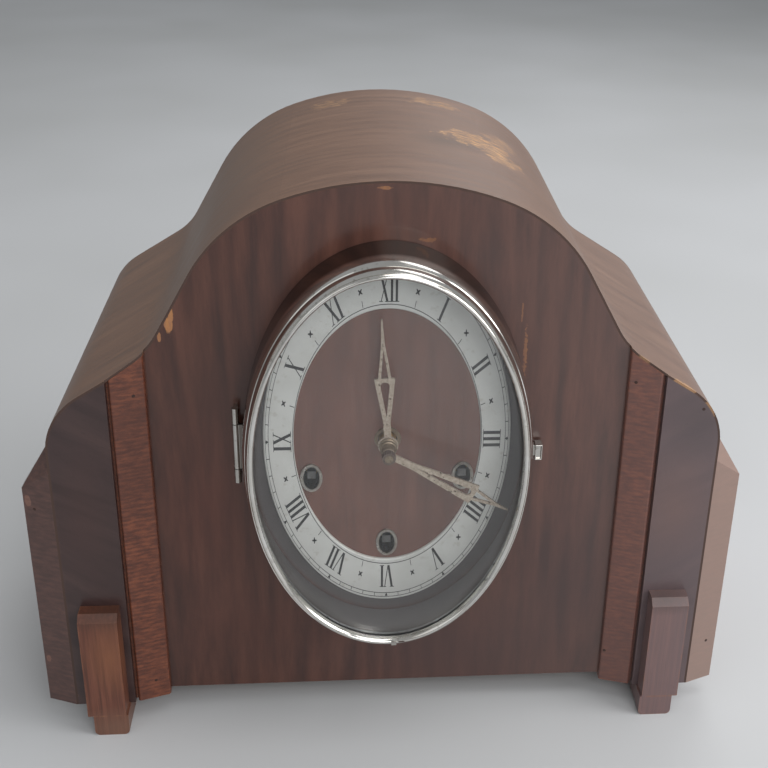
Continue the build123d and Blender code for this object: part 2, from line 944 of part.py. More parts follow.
with BuildPart() as cannon_pinion:
    with BuildSketch(spot(centre_at, plate_y - shaft_clearance)):
        Circle(cannon_radius)
    extrude(amount=plate_y - shaft_clearance - cannon_front)
    with BuildSketch(spot(centre_at, motion_y + motion_thickness)):
        add(motion_disc(cannon_teeth))
    extrude(amount=motion_thickness)
    with BuildSketch(spot(centre_at, plate_y)):
        Circle(centre_arbor_radius + shaft_clearance)
    extrude(amount=plate_y - arbor_front + shaft_clearance, mode=Mode.SUBTRACT)
    with BuildSketch(spot(centre_at, cannon_front)):
        Circle(nose_radius)
    extrude(amount=hand_thickness + nut_height)
save(cannon_pinion, "cannon_pinion")

with BuildPart() as hour_wheel:
    hour_pipe_back = hour_wheel_y + motion_thickness
    with BuildSketch(spot(centre_at, hour_pipe_back)):
        add(motion_disc(hour_wheel_teeth))
    extrude(amount=motion_thickness)
    with BuildSketch(spot(centre_at, hour_pipe_back)):
        Circle(hour_pipe_radius)
    extrude(amount=hour_pipe_back - (panel_y - hour_level - hand_thickness))
    with BuildSketch(spot(centre_at, hour_pipe_back)):
        Circle(hour_bore_radius)
    extrude(amount=case_depth, mode=Mode.SUBTRACT)
save(hour_wheel, "hour_wheel")

with BuildPart() as minute_wheel:
    with BuildSketch(spot(minute_wheel_at, motion_y + motion_thickness)):
        add(motion_disc(minute_wheel_teeth))
    extrude(amount=motion_thickness)
    with BuildSketch(spot(minute_wheel_at, motion_y)):
        add(motion_disc(minute_pinion_teeth))
    extrude(amount=motion_y - hour_wheel_y)
    with BuildSketch(spot(minute_wheel_at, motion_y + motion_thickness)):
        Circle(stud_radius + shaft_clearance)
    extrude(amount=movement_gap, mode=Mode.SUBTRACT)
save(minute_wheel, "minute_wheel")

# Movement plates, pillars and posts

plain_holes = [
    (centre_at, centre_arbor_radius),
    (second_at, train_arbor_radius),
    (third_at, train_arbor_radius),
    (escape_at, train_arbor_radius),
    (anchor_at, train_arbor_radius),
    (strike_at, winding_radius),
    (chime_at, winding_radius),
    (time_at, winding_radius),
]


def movement_plate(back_y):
    with BuildPart() as piece:
        with BuildSketch(facing(back_y)):
            with Locations((dial_x, (plate_low + plate_high) / 2)):
                RectangleRounded(2 * plate_half_width, plate_high - plate_low, plate_corner)
            for at, radius in plain_holes:
                with Locations(at):
                    Circle(radius + shaft_clearance, mode=Mode.SUBTRACT)
        extrude(amount=plate_thickness)
    return piece


bare_plate = movement_plate(works_front)
with BuildPart() as front_plate:
    add(bare_plate.part)
    with BuildSketch(spot(minute_wheel_at, plate_y)):
        Circle(stud_radius)
    extrude(amount=plate_y - hour_wheel_y)
save(front_plate, "front_plate")
save(movement_plate(works_end), "back_plate")

with BuildPart() as plate_pillars:
    with BuildSketch(facing(works_back)):
        with Locations(*pillar_points):
            Circle(pillar_radius)
    extrude(amount=plate_gap)
save(plate_pillars, "plate_pillars")

with BuildPart() as movement_posts:
    with BuildSketch(facing(plate_y)):
        with Locations(*pillar_points):
            Circle(post_radius)
    extrude(amount=movement_gap)
save(movement_posts, "movement_posts")

with BuildPart() as pillar_nuts:
    with BuildSketch(facing(works_end + nut_thickness)):
        with Locations(*pillar_points):
            RegularPolygon(nut_width / 2, 6, major_radius=False)
    extrude(amount=nut_thickness)
save(pillar_nuts, "pillar_nuts")

# Spring barrels and the arbors that wind them

for at, name in ((time_at, "time"), (strike_at, "strike"), (chime_at, "chime")):
    wheel_radius = great_radius if name == "time" else side_great_radius
    wheel_y = great_y if name == "time" else side_great_y
    with BuildPart() as barrel:
        with BuildSketch(spot(at, barrel_y + barrel_depth)):
            Circle(barrel_radius)
        extrude(amount=barrel_depth)
        with BuildSketch(spot(at, barrel_y + barrel_depth - barrel_wall)):
            Circle(barrel_radius - barrel_wall)
        extrude(amount=barrel_depth - 2 * barrel_wall, mode=Mode.SUBTRACT)
        with BuildSketch(spot(at, wheel_y + wheel_thickness)):
            add(gear_disc(wheel_radius))
        extrude(amount=wheel_thickness)
        with BuildSketch(spot(at, works_back)):
            Circle(winding_radius + shaft_clearance)
        extrude(amount=plate_gap, mode=Mode.SUBTRACT)
    save(barrel, f"{name}_barrel")
    with BuildPart() as winder:
        with BuildSketch(spot(at, works_end)):
            Circle(winding_radius)
        extrude(amount=works_end - panel_y - winding_setback - square_length)
        with BuildSketch(spot(at, panel_y + winding_setback + square_length)):
            Rectangle(winding_square, winding_square)
        extrude(amount=square_length)
        with BuildSketch(spot(at, plate_y - motion_thickness)):
            add(toothed_disc(ratchet_radius, ratchet_teeth, tooth_depth))
        extrude(amount=motion_thickness)
    save(winder, f"{name}_winding_arbor")

# Going train between the plates


def train_wheel(at, wheel_radius, wheel_y, pinion_radius, pinion_y):
    with BuildPart() as piece:
        with BuildSketch(spot(at, wheel_y + wheel_thickness)):
            add(gear_disc(wheel_radius))
            with PolarLocations(wheel_radius * 0.58, 5):
                Circle(wheel_radius * 0.24, mode=Mode.SUBTRACT)
        extrude(amount=wheel_thickness)
        with BuildSketch(spot(at, pinion_y + pinion_length / 2)):
            add(gear_disc(pinion_radius))
        extrude(amount=pinion_length)
        with BuildSketch(spot(at, works_end)):
            Circle(train_arbor_radius)
        extrude(amount=works_end - plate_y)
    return piece


for at, radius, level, pinion_radius, pinion_level, name in (
    (second_at, second_wheel_radius, second_y, second_pinion_radius, great_y, "second_wheel"),
    (third_at, third_wheel_radius, third_y, third_pinion_radius, centre_wheel_y, "third_wheel"),
    (escape_at, escape_radius, escape_y, escape_pinion_radius, third_y, "escape_wheel"),
):
    save(train_wheel(at, radius, level, pinion_radius, pinion_level), name)

with BuildPart() as centre_wheel:
    with BuildSketch(spot(centre_at, centre_wheel_y + wheel_thickness)):
        add(gear_disc(centre_wheel_radius))
        with PolarLocations(centre_wheel_radius * 0.6, 5):
            Circle(centre_wheel_radius * 0.22, mode=Mode.SUBTRACT)
    extrude(amount=wheel_thickness)
    with BuildSketch(spot(centre_at, centre_wheel_y)):
        add(gear_disc(centre_pinion_radius))
    extrude(amount=pinion_length)
    with BuildSketch(spot(centre_at, works_back)):
        Circle(centre_arbor_radius)
    extrude(amount=plate_gap, mode=Mode.SUBTRACT)
save(centre_wheel, "centre_wheel")

# Anchor and pendulum

pendulum_y = works_end + pendulum_stand
pendulum_back = pendulum_y + bob_thickness

with BuildPart() as anchor:
    with BuildSketch(spot(anchor_at, escape_y + wheel_thickness)):
        with BuildLine():
            right = [
                (0, 2 * train_arbor_radius),
                (anchor_reach * 1.2, -anchor_rise * 0.3),
                (anchor_reach, -anchor_rise / 2),
                (anchor_reach * 0.82, -anchor_rise * 0.36),
                (0, -train_arbor_radius),
            ]
            Polyline(*right, *[(-x, z) for x, z in reversed(right[1:-1])], close=True)
        make_face()
    extrude(amount=anchor_thickness)
    with BuildSketch(spot(anchor_at, pendulum_back)):
        Circle(train_arbor_radius)
    extrude(amount=pendulum_back - plate_y)
save(anchor, "anchor")

with BuildPart() as pendulum:
    with BuildSketch(spot(anchor_at, pendulum_back)):
        Circle(2 * rod_width)
        Rectangle(rod_width, pendulum_length, align=(Align.CENTER, Align.MAX))
        with Locations((0, -pendulum_length)):
            Circle(bob_radius)
            Rectangle(2 * rod_width, bob_radius + 2 * rod_width, align=(Align.CENTER, Align.MAX))
        Circle(train_arbor_radius, mode=Mode.SUBTRACT)
    extrude(amount=bob_thickness)
    with BuildSketch(spot(anchor_at, pendulum_y + bob_thickness / 3)):
        with Locations((0, -pendulum_length + bob_radius)):
            Rectangle(
                4 * rod_width,
                pendulum_length - bob_radius - 2 * rod_width,
                align=(Align.CENTER, Align.MIN),
            )
    extrude(amount=bob_thickness / 3, mode=Mode.SUBTRACT)
save(pendulum, "pendulum")

# Hammers, chime rods and the block that holds them

hammer_front = pendulum_back + hammer_clearance
hammer_room = back_front - back_clearance - hammer_front
hammer_pitch = (hammer_room + hammer_spacing) / hammer_count
hammer_head_width = hammer_pitch - hammer_spacing
hammer_start = hammer_front + hammer_head_width / 2
hammer_levels = [hammer_start + hammer_pitch * i for i in range(hammer_count)]
hammer_drop = hammer_at[1] - (rod_top + hammer_gap + hammer_head)
arm_length = hypot(hammer_reach, hammer_drop)

with BuildPart() as hammer_arbor:
    hammer_end = hammer_levels[-1] + hammer_head_width
    with BuildSketch(spot(hammer_at, hammer_end)):
        Circle(hammer_bore_radius)
    extrude(amount=hammer_end - works_end)
save(hammer_arbor, "hammer_arbor")

for number, level in enumerate(hammer_levels, start=1):
    with BuildPart() as hammer:
        with BuildSketch(spot(hammer_at, level + hammer_arm / 2)):
            Circle(hammer_hub)
            with BuildLine():
                reach = Line((0, 0), (hammer_reach, -hammer_drop))
            trace(reach, line_width=hammer_arm)
            Circle(hammer_bore_radius + shaft_clearance, mode=Mode.SUBTRACT)
        extrude(amount=hammer_arm)
        with BuildSketch(spot(hammer_at, level + hammer_head_width / 2)):
            with Locations((hammer_reach, -hammer_drop)):
                Circle(hammer_head)
        extrude(amount=hammer_head_width)
    save(hammer, f"hammer_{number}")

block_x = hammer_at[0] + hammer_reach + chime_rod_length / 2 + block_width / 2
block_front = hammer_levels[0] - block_margin
block_back = hammer_levels[-1] + block_margin

with BuildPart() as rod_block:
    with Locations((block_x, block_front, base_top)):
        Box(
            block_width,
            block_back - block_front,
            block_height,
            align=(Align.CENTER, Align.MIN, Align.MIN),
        )
    fillet(edges().filter_by(Axis.Z), block_margin / 2)
save(rod_block, "rod_block")

with BuildPart() as rod_block_bolts:
    bolt_inset = bolt_width * 0.7
    with BuildSketch(Plane.XY.offset(base_top + block_height)):
        with Locations((block_x, block_front + bolt_inset), (block_x, block_back - bolt_inset)):
            RegularPolygon(bolt_width / 2, 6, major_radius=False)
    extrude(amount=bolt_height)
save(rod_block_bolts, "rod_block_bolts")

with BuildPart() as chime_rods:
    for number, level in enumerate(hammer_levels):
        length = chime_rod_length - chime_rod_step * number
        rod_plane = Plane(
            origin=(block_x - block_width / 2, level, base_top + chime_rod_height),
            z_dir=(-1, 0, 0),
        )
        with BuildSketch(rod_plane):
            Circle(chime_rod_radius)
        extrude(amount=length)
save(chime_rods, "chime_rods")

# Joint places, for whoever writes the joints
for label, place in (
    ("panel face", panel_y),
    ("bezel hinge", (hinge_x, hinge_y, dial_height)),
    ("door hinge", (door_axis_x, door_axis_y, (door_low + door_high) / 2)),
    ("second wheel", second_at),
    ("third wheel", third_at),
    ("escape wheel", escape_at),
    ("anchor", anchor_at),
    ("minute wheel", minute_wheel_at),
    ("hammer arbor", hammer_at),
    ("hand lengths", (hour_length, minute_length)),
    ("second wheel radius", second_wheel_radius),
    ("wheel levels", (great_y, second_y, centre_wheel_y, third_y, escape_y, works_back)),
    ("arm length", arm_length),
):
    print(label, place)
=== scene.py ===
import json
import math
import bpy
from mathutils import Matrix, Vector


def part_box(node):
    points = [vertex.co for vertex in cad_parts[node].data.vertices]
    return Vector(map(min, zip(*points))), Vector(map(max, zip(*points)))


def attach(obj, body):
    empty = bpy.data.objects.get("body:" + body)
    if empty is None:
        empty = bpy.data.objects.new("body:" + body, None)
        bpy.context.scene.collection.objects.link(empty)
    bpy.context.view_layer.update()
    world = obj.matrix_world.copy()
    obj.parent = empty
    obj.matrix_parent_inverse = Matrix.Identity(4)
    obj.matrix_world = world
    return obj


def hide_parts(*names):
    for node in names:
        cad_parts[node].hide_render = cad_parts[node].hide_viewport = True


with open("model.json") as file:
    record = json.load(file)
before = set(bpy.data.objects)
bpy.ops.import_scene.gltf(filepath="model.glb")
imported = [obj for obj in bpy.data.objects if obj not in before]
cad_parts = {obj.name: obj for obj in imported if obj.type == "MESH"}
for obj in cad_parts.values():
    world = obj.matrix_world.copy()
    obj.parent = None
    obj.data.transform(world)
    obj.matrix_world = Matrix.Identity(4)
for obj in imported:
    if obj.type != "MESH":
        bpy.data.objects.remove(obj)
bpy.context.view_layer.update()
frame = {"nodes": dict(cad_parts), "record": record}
nodes = frame["nodes"]
scene = bpy.context.scene
scene.view_settings.view_transform = "Standard"
mm = 0.001
wellInFront, wellBehind = -0.2, 0.2  # where lines towards a surface start
print("frame loaded,", len(nodes), "nodes")


def deselectAll():
    if bpy.context.mode != "OBJECT":
        bpy.ops.object.mode_set(mode="OBJECT")
    bpy.ops.object.select_all(action="DESELECT")


def onlyActive(piece):
    deselectAll()
    piece.select_set(True)
    bpy.context.view_layer.objects.active = piece


def editMode():
    bpy.ops.object.mode_set(mode="EDIT")


def objectMode():
    bpy.ops.object.mode_set(mode="OBJECT")


def pick(piece, kind, test):  # into edit mode, with just the corners or faces that pass selected
    onlyActive(piece)
    editMode()
    bpy.ops.mesh.select_mode(type=kind)
    bpy.ops.mesh.select_all(action="DESELECT")
    objectMode()
    for part in piece.data.vertices if kind == "VERT" else piece.data.polygons:
        part.select = test(part.co if kind == "VERT" else part.center)
    editMode()


def settle(piece):  # its place goes into the mesh
    onlyActive(piece)
    bpy.ops.object.transform_apply(location=True, rotation=True, scale=True)
    return piece


def twinOf(piece, place):  # a copy with its own mesh
    twin = piece.copy()
    twin.data = piece.data.copy()
    scene.collection.objects.link(twin)
    twin.matrix_world = place
    return twin


def joinAll(parts, name):
    deselectAll()
    for part in parts:
        part.select_set(True)
    bpy.context.view_layer.objects.active = parts[0]
    if len(parts) > 1:
        bpy.ops.object.join()
    whole = bpy.context.view_layer.objects.active
    whole.name = name
    whole.data.name = name
    return settle(whole)


def dropPiece(piece):
    bpy.data.objects.remove(piece)


def applyModifier(piece, kind, **values):
    onlyActive(piece)
    added = piece.modifiers.new(kind.title(), kind)
    for label, value in values.items():
        setattr(added, label, value)
    bpy.ops.object.modifier_apply(modifier=added.name)


def surfaceAt(piece, start, along):  # where a line meets a piece
    hit, place, normal, _ = piece.ray_cast(Vector(start), Vector(along))
    if not hit:
        raise RuntimeError("no surface of " + piece.name + " there")
    return place, normal


def anyPlace(place):
    return True


def flatCircle(sides, radius, fill="NOTHING"):  # upright, facing the front
    deselectAll()
    bpy.ops.mesh.primitive_circle_add(vertices=sides, radius=radius * mm, fill_type=fill,
                                      rotation=(math.pi / 2, 0, 0))
    return settle(bpy.context.object)


def nextRing(along, wide, tall):  # the picked open edge drawn on, then made wider or narrower
    bpy.ops.mesh.extrude_edges_move()
    bpy.ops.transform.translate(value=(0, along * mm, 0))
    bpy.ops.transform.resize(value=(wide, 1, tall), center_override=(0, 0, 0))


def pointOut():  # all faces turned outwards, and back to object mode
    bpy.ops.mesh.select_all(action="SELECT")
    bpy.ops.mesh.normals_make_consistent(inside=False)
    objectMode()


def faceFront(piece):  # an open sheet shows its printed or flat side
    if piece.data.polygons[0].normal.y > 0:
        editMode()
        bpy.ops.mesh.flip_normals()
        objectMode()


def squareBlock(near, far, turn=0.0):  # between two corners, turned about its middle
    deselectAll()
    bpy.ops.mesh.primitive_cube_add(size=1, location=(near + far) / 2, rotation=(0, math.radians(turn), 0))
    block = bpy.context.object
    block.scale = far - near
    return settle(block)


# Camera at the photo's angle
cameraView = {
    "place": (-0.01532, -0.41309, 0.33076),
    "pitch": 23.956,
    "yaw": -5.728,
    "roll": 1.982,
    "lens": 55.17,
    "shift": (-0.0916, -0.0949),
}


def addCamera(view):
    lens = bpy.data.cameras.new("photoCamera")
    lens.lens = view["lens"]
    lens.sensor_width = 36
    lens.shift_x, lens.shift_y = view["shift"]
    lens.clip_start = 0.01
    camera = bpy.data.objects.new("photoCamera", lens)
    scene.collection.objects.link(camera)
    turn = Matrix.Rotation(math.radians(view["yaw"]), 4, "Z")
    turn @= Matrix.Rotation(math.radians(90 - view["pitch"]), 4, "X")
    turn @= Matrix.Rotation(math.radians(view["roll"]), 4, "Z")
    camera.matrix_world = Matrix.Translation(view["place"]) @ turn
    scene.camera = camera


addCamera(cameraView)
print("camera set")


def tint(red, green, blue):  # a screen colour as a linear one
    shares = [part / 255 for part in (red, green, blue)]
    return tuple(s / 12.92 if s <= 0.04045 else ((s + 0.055) / 1.055) ** 2.4 for s in shares) + (1.0,)


def put(tree, kind, sockets=None, **settings):
    node = tree.nodes.new("ShaderNode" + kind)
    for label, value in settings.items():
        setattr(node, label, value)
    for label, value in (sockets or {}).items():
        node.inputs[label].default_value = value
    return node


def wire(tree, source, sourceSocket, target, targetSocket):
    tree.links.new(source.outputs[sourceSocket], target.inputs[targetSocket])


def newGroup(name, inputs, outputs):
    group = bpy.data.node_groups.new(name, "ShaderNodeTree")
    for label, kind, value in inputs:
        socket = group.interface.new_socket(name=label, in_out="INPUT", socket_type="NodeSocket" + kind)
        if value is not None:
            socket.default_value = value
    for label, kind in outputs:
        group.interface.new_socket(name=label, in_out="OUTPUT", socket_type="NodeSocket" + kind)
    return group, group.nodes.new("NodeGroupInput"), group.nodes.new("NodeGroupOutput")


def useGroup(tree, group, sockets=None):
    node = tree.nodes.new("ShaderNodeGroup")
    node.node_tree = group
    for label, value in (sockets or {}).items():
        node.inputs[label].default_value = value
    return node


def newMaterial(name, sockets):
    material = bpy.data.materials.new(name)
    material.use_nodes = True
    tree = material.node_tree
    tree.nodes.clear()
    shader = put(tree, "BsdfPrincipled", sockets)
    output = put(tree, "OutputMaterial")
    wire(tree, shader, "BSDF", output, "Surface")
    return material, tree, shader


def feed(tree, node, label, value):  # from a socket, or a value as it is
    if isinstance(value, bpy.types.NodeSocket):
        tree.links.new(value, node.inputs[label])
    else:
        node.inputs[label].default_value = value


def mixColour(tree, mask, first, second, blend="MIX"):
    mix = put(tree, "Mix", data_type="RGBA", blend_type=blend)
    for slot, value in ((0, mask), (6, first), (7, second)):
        feed(tree, mix, slot, value)
    return mix.outputs[2]


def sums(tree, operation, first, second):
    node = put(tree, "Math", operation=operation)
    feed(tree, node, 0, first)
    feed(tree, node, 1, second)
    return node.outputs[0]


def times(tree, first, second):
    return sums(tree, "MULTIPLY", first, second)


def vectors(tree, operation, first, second=None, out="Vector"):
    node = put(tree, "VectorMath", operation=operation)
    feed(tree, node, 0, first)
    if second is not None:
        feed(tree, node, 1, second)
    return node.outputs[out]


def ranged(tree, value, low, high, newLow=0.0, newHigh=1.0):
    node = put(tree, "MapRange")
    for slot, given in enumerate((value, low, high, newLow, newHigh)):
        feed(tree, node, slot, given)
    return node.outputs[0]


def noiseOf(tree, vector, scale, detail=3.0, roughness=0.55):
    node = put(tree, "TexNoise", {"Detail": detail, "Roughness": roughness})
    feed(tree, node, "Vector", vector)
    feed(tree, node, "Scale", scale)
    return node


# Wood grain: the vector comes in with the grain along its Z and already drawn out
grainShares = {
    "drift": 18.0, "bandScale": 0.22, "bands": {"Distortion": 5.0, "Detail": 3.0, "Detail Scale": 1.4},
    "streakScale": 0.3, "streakRange": (0.52, 0.70), "poreRange": (0.60, 0.72), "fibreScale": 0.45,
}


def makeWoodGrain(look):
    group, inside, outside = newGroup(
        "woodGrain",
        [("Vector", "Vector", None), ("Line Scale", "Float", 120.0), ("Warp", "Float", 0.01),
         ("Pore Scale", "Float", 2400.0), ("Band Share", "Float", 0.1)],
        [("Figure", "Float"), ("Streaks", "Float"), ("Pores", "Float"), ("Fibre", "Float")])
    vector, lineScale, warp, poreScale, bandShare = list(inside.outputs)[:5]
    drift = noiseOf(group, vector, look["drift"], 2.0).outputs["Color"]
    drift = vectors(group, "MULTIPLY", vectors(group, "SUBTRACT", drift, (0.5, 0.5, 0.5)), warp)
    warped = vectors(group, "ADD", vector, drift)
    lines = noiseOf(group, warped, lineScale, 6.0, 0.62).outputs[0]
    bands = put(group, "TexWave", look["bands"], wave_type="BANDS", bands_direction="X")
    feed(group, bands, "Vector", warped)
    feed(group, bands, "Scale", times(group, lineScale, look["bandScale"]))
    lines = times(group, lines, sums(group, "SUBTRACT", 1.0, bandShare))
    feed(group, outside, "Figure", sums(group, "ADD", lines, times(group, bands.outputs[1], bandShare)))
    streaks = noiseOf(group, warped, times(group, lineScale, look["streakScale"]), 3.0, 0.5).outputs[0]
    feed(group, outside, "Streaks", ranged(group, streaks, *look["streakRange"]))
    pores = noiseOf(group, vector, poreScale, 1.0, 0.5).outputs[0]
    feed(group, outside, "Pores", ranged(group, pores, *look["poreRange"]))
    fibre = noiseOf(group, vector, times(group, poreScale, look["fibreScale"]), 4.0, 0.6).outputs[0]
    feed(group, outside, "Fibre", fibre)
    return group


# Worn edge: where a rounded normal leaves the face's own, broken up by noise
edgeShares = {"samples": 6, "turnRange": (0.985, 0.80), "breakRange": (0.42, 0.62)}


def makeWornEdge(look):
    group, inside, outside = newGroup(
        "wornEdge", [("Vector", "Vector", None), ("Width", "Float", 0.0012), ("Breaks", "Float", 260.0)],
        [("Mask", "Float")])
    vector, width, breakScale = list(inside.outputs)[:3]
    rounded = put(group, "Bevel", samples=look["samples"])
    feed(group, rounded, "Radius", width)
    plain = put(group, "NewGeometry").outputs["Normal"]
    turned = vectors(group, "DOT_PRODUCT", rounded.outputs["Normal"], plain, "Value")
    breaks = noiseOf(group, vector, breakScale, 4.0, 0.65).outputs[0]
    breaks = ranged(group, breaks, *look["breakRange"])
    feed(group, outside, "Mask", times(group, ranged(group, turned, *look["turnRange"]), breaks))
    return group


# Chip: a spot of a given size about a point, with a ragged or a soft edge
def makeChip():
    group, inside, outside = newGroup(
        "chip",
        [("Vector", "Vector", None), ("Centre", "Vector", None), ("Size", "Vector", (0.002, 0.002, 0.002)),
         ("Ragged", "Float", 1.2), ("Breaks", "Float", 420.0), ("Soft", "Float", 0.2)],
        [("Mask", "Float")])
    vector, centre, size, ragged, breakScale, soft = list(inside.outputs)[:6]
    shares = vectors(group, "DIVIDE", vectors(group, "SUBTRACT", vector, centre), size)
    far = vectors(group, "LENGTH", shares, out="Value")
    breaks = noiseOf(group, vector, breakScale, 4.0, 0.65).outputs[0]
    rough = times(group, sums(group, "SUBTRACT", breaks, 0.5), ragged)
    full = sums(group, "SUBTRACT", 1.0, soft)
    feed(group, outside, "Mask", ranged(group, sums(group, "ADD", far, rough), 1.0, full))
    return group


# Metal age: cloudy stain, dark specks and fine rubbed lines
ageShares = {"stainRange": (0.35, 0.70), "speckRange": (0.62, 0.72), "rubScale": 3000.0}


def makeMetalAge(look):
    group, inside, outside = newGroup(
        "metalAge",
        [("Vector", "Vector", None), ("Stain Scale", "Float", 60.0), ("Speck Scale", "Float", 900.0)],
        [("Stain", "Float"), ("Specks", "Float"), ("Rubbed", "Float")])
    vector, stainScale, speckScale = list(inside.outputs)[:3]
    stain = noiseOf(group, vector, stainScale, 5.0, 0.6).outputs[0]
    feed(group, outside, "Stain", ranged(group, stain, *look["stainRange"]))
    specks = noiseOf(group, vector, speckScale, 2.0, 0.5).outputs[0]
    feed(group, outside, "Specks", ranged(group, specks, *look["speckRange"]))
    feed(group, outside, "Rubbed", noiseOf(group, vector, look["rubScale"], 2.0, 0.6).outputs[0])
    return group


woodGrain = makeWoodGrain(grainShares)
wornEdge = makeWornEdge(edgeShares)
chip = makeChip()
metalAge = makeMetalAge(ageShares)


def objectCoords(tree):
    return put(tree, "TexCoord").outputs["Object"]


def bumpFrom(tree, shader, height, strength, depth):
    bump = put(tree, "Bump", {"Strength": strength, "Distance": depth})
    feed(tree, bump, "Height", height)
    wire(tree, bump, "Normal", shader, "Normal")


def chipMask(tree, coords, centre, size, ragged, breaks, soft=0.2):
    spot = useGroup(tree, chip, {"Centre": [v * mm for v in centre], "Size": [v * mm for v in size],
                                 "Ragged": ragged, "Breaks": breaks, "Soft": soft})
    feed(tree, spot, "Vector", coords)
    return spot.outputs["Mask"]


def alongAxis(tree, coords, axis):
    apart = put(tree, "SeparateXYZ")
    feed(tree, apart, "Vector", coords)
    return apart.outputs[axis]


woodCommon = {  # what a wood's own look leaves unsaid
    "varnish": 0.15, "varnishBlur": 0.28, "shine": 0.42, "bandShare": 0.08, "toneStops": (0.34, 0.49, 0.64),
    "streakShare": 0.5, "patchScale": 14.0, "patchRange": (0.40, 0.66), "patchShare": 0.35,
    # The tone laid on towards the right (+X) is painted light: a paler, greyer sheen as from a light on the
    # right.
    "poreShare": 0.55, "sheenRange": (-0.05, 0.12), "sheenShare": 0.0, "sheenTone": (150, 136, 134),
    "edgeWidth": 0.0012, "edgeShare": 0.6, "fibreRange": (0.35, 0.65), "tones": (),
    "toneEdge": (0.5, 60.0, 0.9), "dialEdge": (0.0, 60.0, 0.04), "frontRange": (0.7, 0.95), "chips": (),
    "scuffs": (), "strokeDraw": (0.15, 1, 0), "strokeRange": (0.48, 0.56), "scuffEdge": (2.2, 190.0),
    "glossRange": (0.3, 0.7), "wornRough": 0.25, "relief": 0.25, "reliefDepth": 0.0002, "wornDepth": 0.8,
    "fibreDepth": 0.5,
}


def layGrain(tree, coords, look):  # the way the grain runs over a piece
    if look.get("bent"):  # round from side to side with the bend
        return vectors(tree, "MULTIPLY", coords, (look["drawOut"], 1, look["drawOut"]))
    lay = put(tree, "Mapping", {"Rotation": [math.radians(a) for a in look["grainTurn"]],
                                "Scale": (1, 1, 1 / look["drawOut"])}, vector_type="TEXTURE")
    if look.get("matched"):  # the right side mirrors the left
        coords = vectors(tree, "ABSOLUTE", coords)
    feed(tree, lay, "Vector", coords)
    return lay.outputs["Vector"]


def woodTone(tree, coords, grain, look):  # figure, streaks, slow patches, pores, and a painted sheen: paler and greyer towards the right (+X)
    ramp = put(tree, "ValToRGB")
    ramp.color_ramp.elements.new(look["toneStops"][1])
    for stop, place, tone in zip(ramp.color_ramp.elements, look["toneStops"], ("dark", "mid", "light")):
        stop.position = place
        stop.color = tint(*look[tone])
    wire(tree, grain, "Figure", ramp, "Fac")
    streaks = times(tree, grain.outputs["Streaks"], look["streakShare"])
    patches = noiseOf(tree, coords, look["patchScale"]).outputs[0]
    patches = ranged(tree, patches, *look["patchRange"], 0.0, look["patchShare"])
    pores = times(tree, grain.outputs["Pores"], look["poreShare"])
    # painted sheen: the wood turns paler and greyer towards +X, as if lit from the right
    sheenMask = ranged(tree, alongAxis(tree, coords, "X"), *look["sheenRange"], 0.0, look["sheenShare"])
    colour = ramp.outputs["Color"]
    for mask, tone in ((streaks, "dark"), (patches, "patch"), (pores, "pore"), (sheenMask, "sheenTone")):
        colour = mixColour(tree, mask, colour, tint(*look[tone]))
    return colour


def placedTones(tree, coords, colour, look):  # tones that belong to one place
    for centre, size, toned, share in look["tones"]:
        oval = times(tree, chipMask(tree, coords, centre, size, *look["toneEdge"]), share)
        colour = mixColour(tree, oval, colour, tint(*toned))
    if "dial" in look:  # paler inside the ring, grey between the ring and the bezel
        dial = look["dial"]
        within, around = (chipMask(tree, coords, dial["middle"], dial[oval], *look["dialEdge"])
                          for oval in ("inner", "outer"))
        around = sums(tree, "SUBTRACT", around, within)
        colour = mixColour(tree, within, colour, tint(*dial["added"]), "ADD")
        colour = mixColour(tree, around, colour, tint(*dial["grey"]))
    if "frontEdge" in look:  # the cut edge that faces the front
        normal = put(tree, "TexCoord").outputs["Normal"]
        ahead = vectors(tree, "DOT_PRODUCT", normal, (0, -1, 0), "Value")
        facing = ranged(tree, ahead, *look["frontRange"])
        colour = mixColour(tree, facing, colour, tint(*look["frontEdge"]))
    return colour


def wornSpots(tree, coords, look):  # chips, and scuffs of short strokes along the grain
    spots = []
    for centre, size, ragged, breaks, share in look["chips"]:
        spots.append(times(tree, chipMask(tree, coords, centre, size, ragged, breaks), share))
    if look["scuffs"]:
        drawn = vectors(tree, "MULTIPLY", coords, look["strokeDraw"])
        strokes = noiseOf(tree, drawn, look["strokeScale"], 2.0, 0.5)
        stroked = ranged(tree, strokes.outputs[0], *look["strokeRange"])
        for centre, size, share in look["scuffs"]:
            spot = chipMask(tree, coords, centre, size, *look["scuffEdge"])
            spots.append(times(tree, times(tree, spot, stroked), share))
    return spots


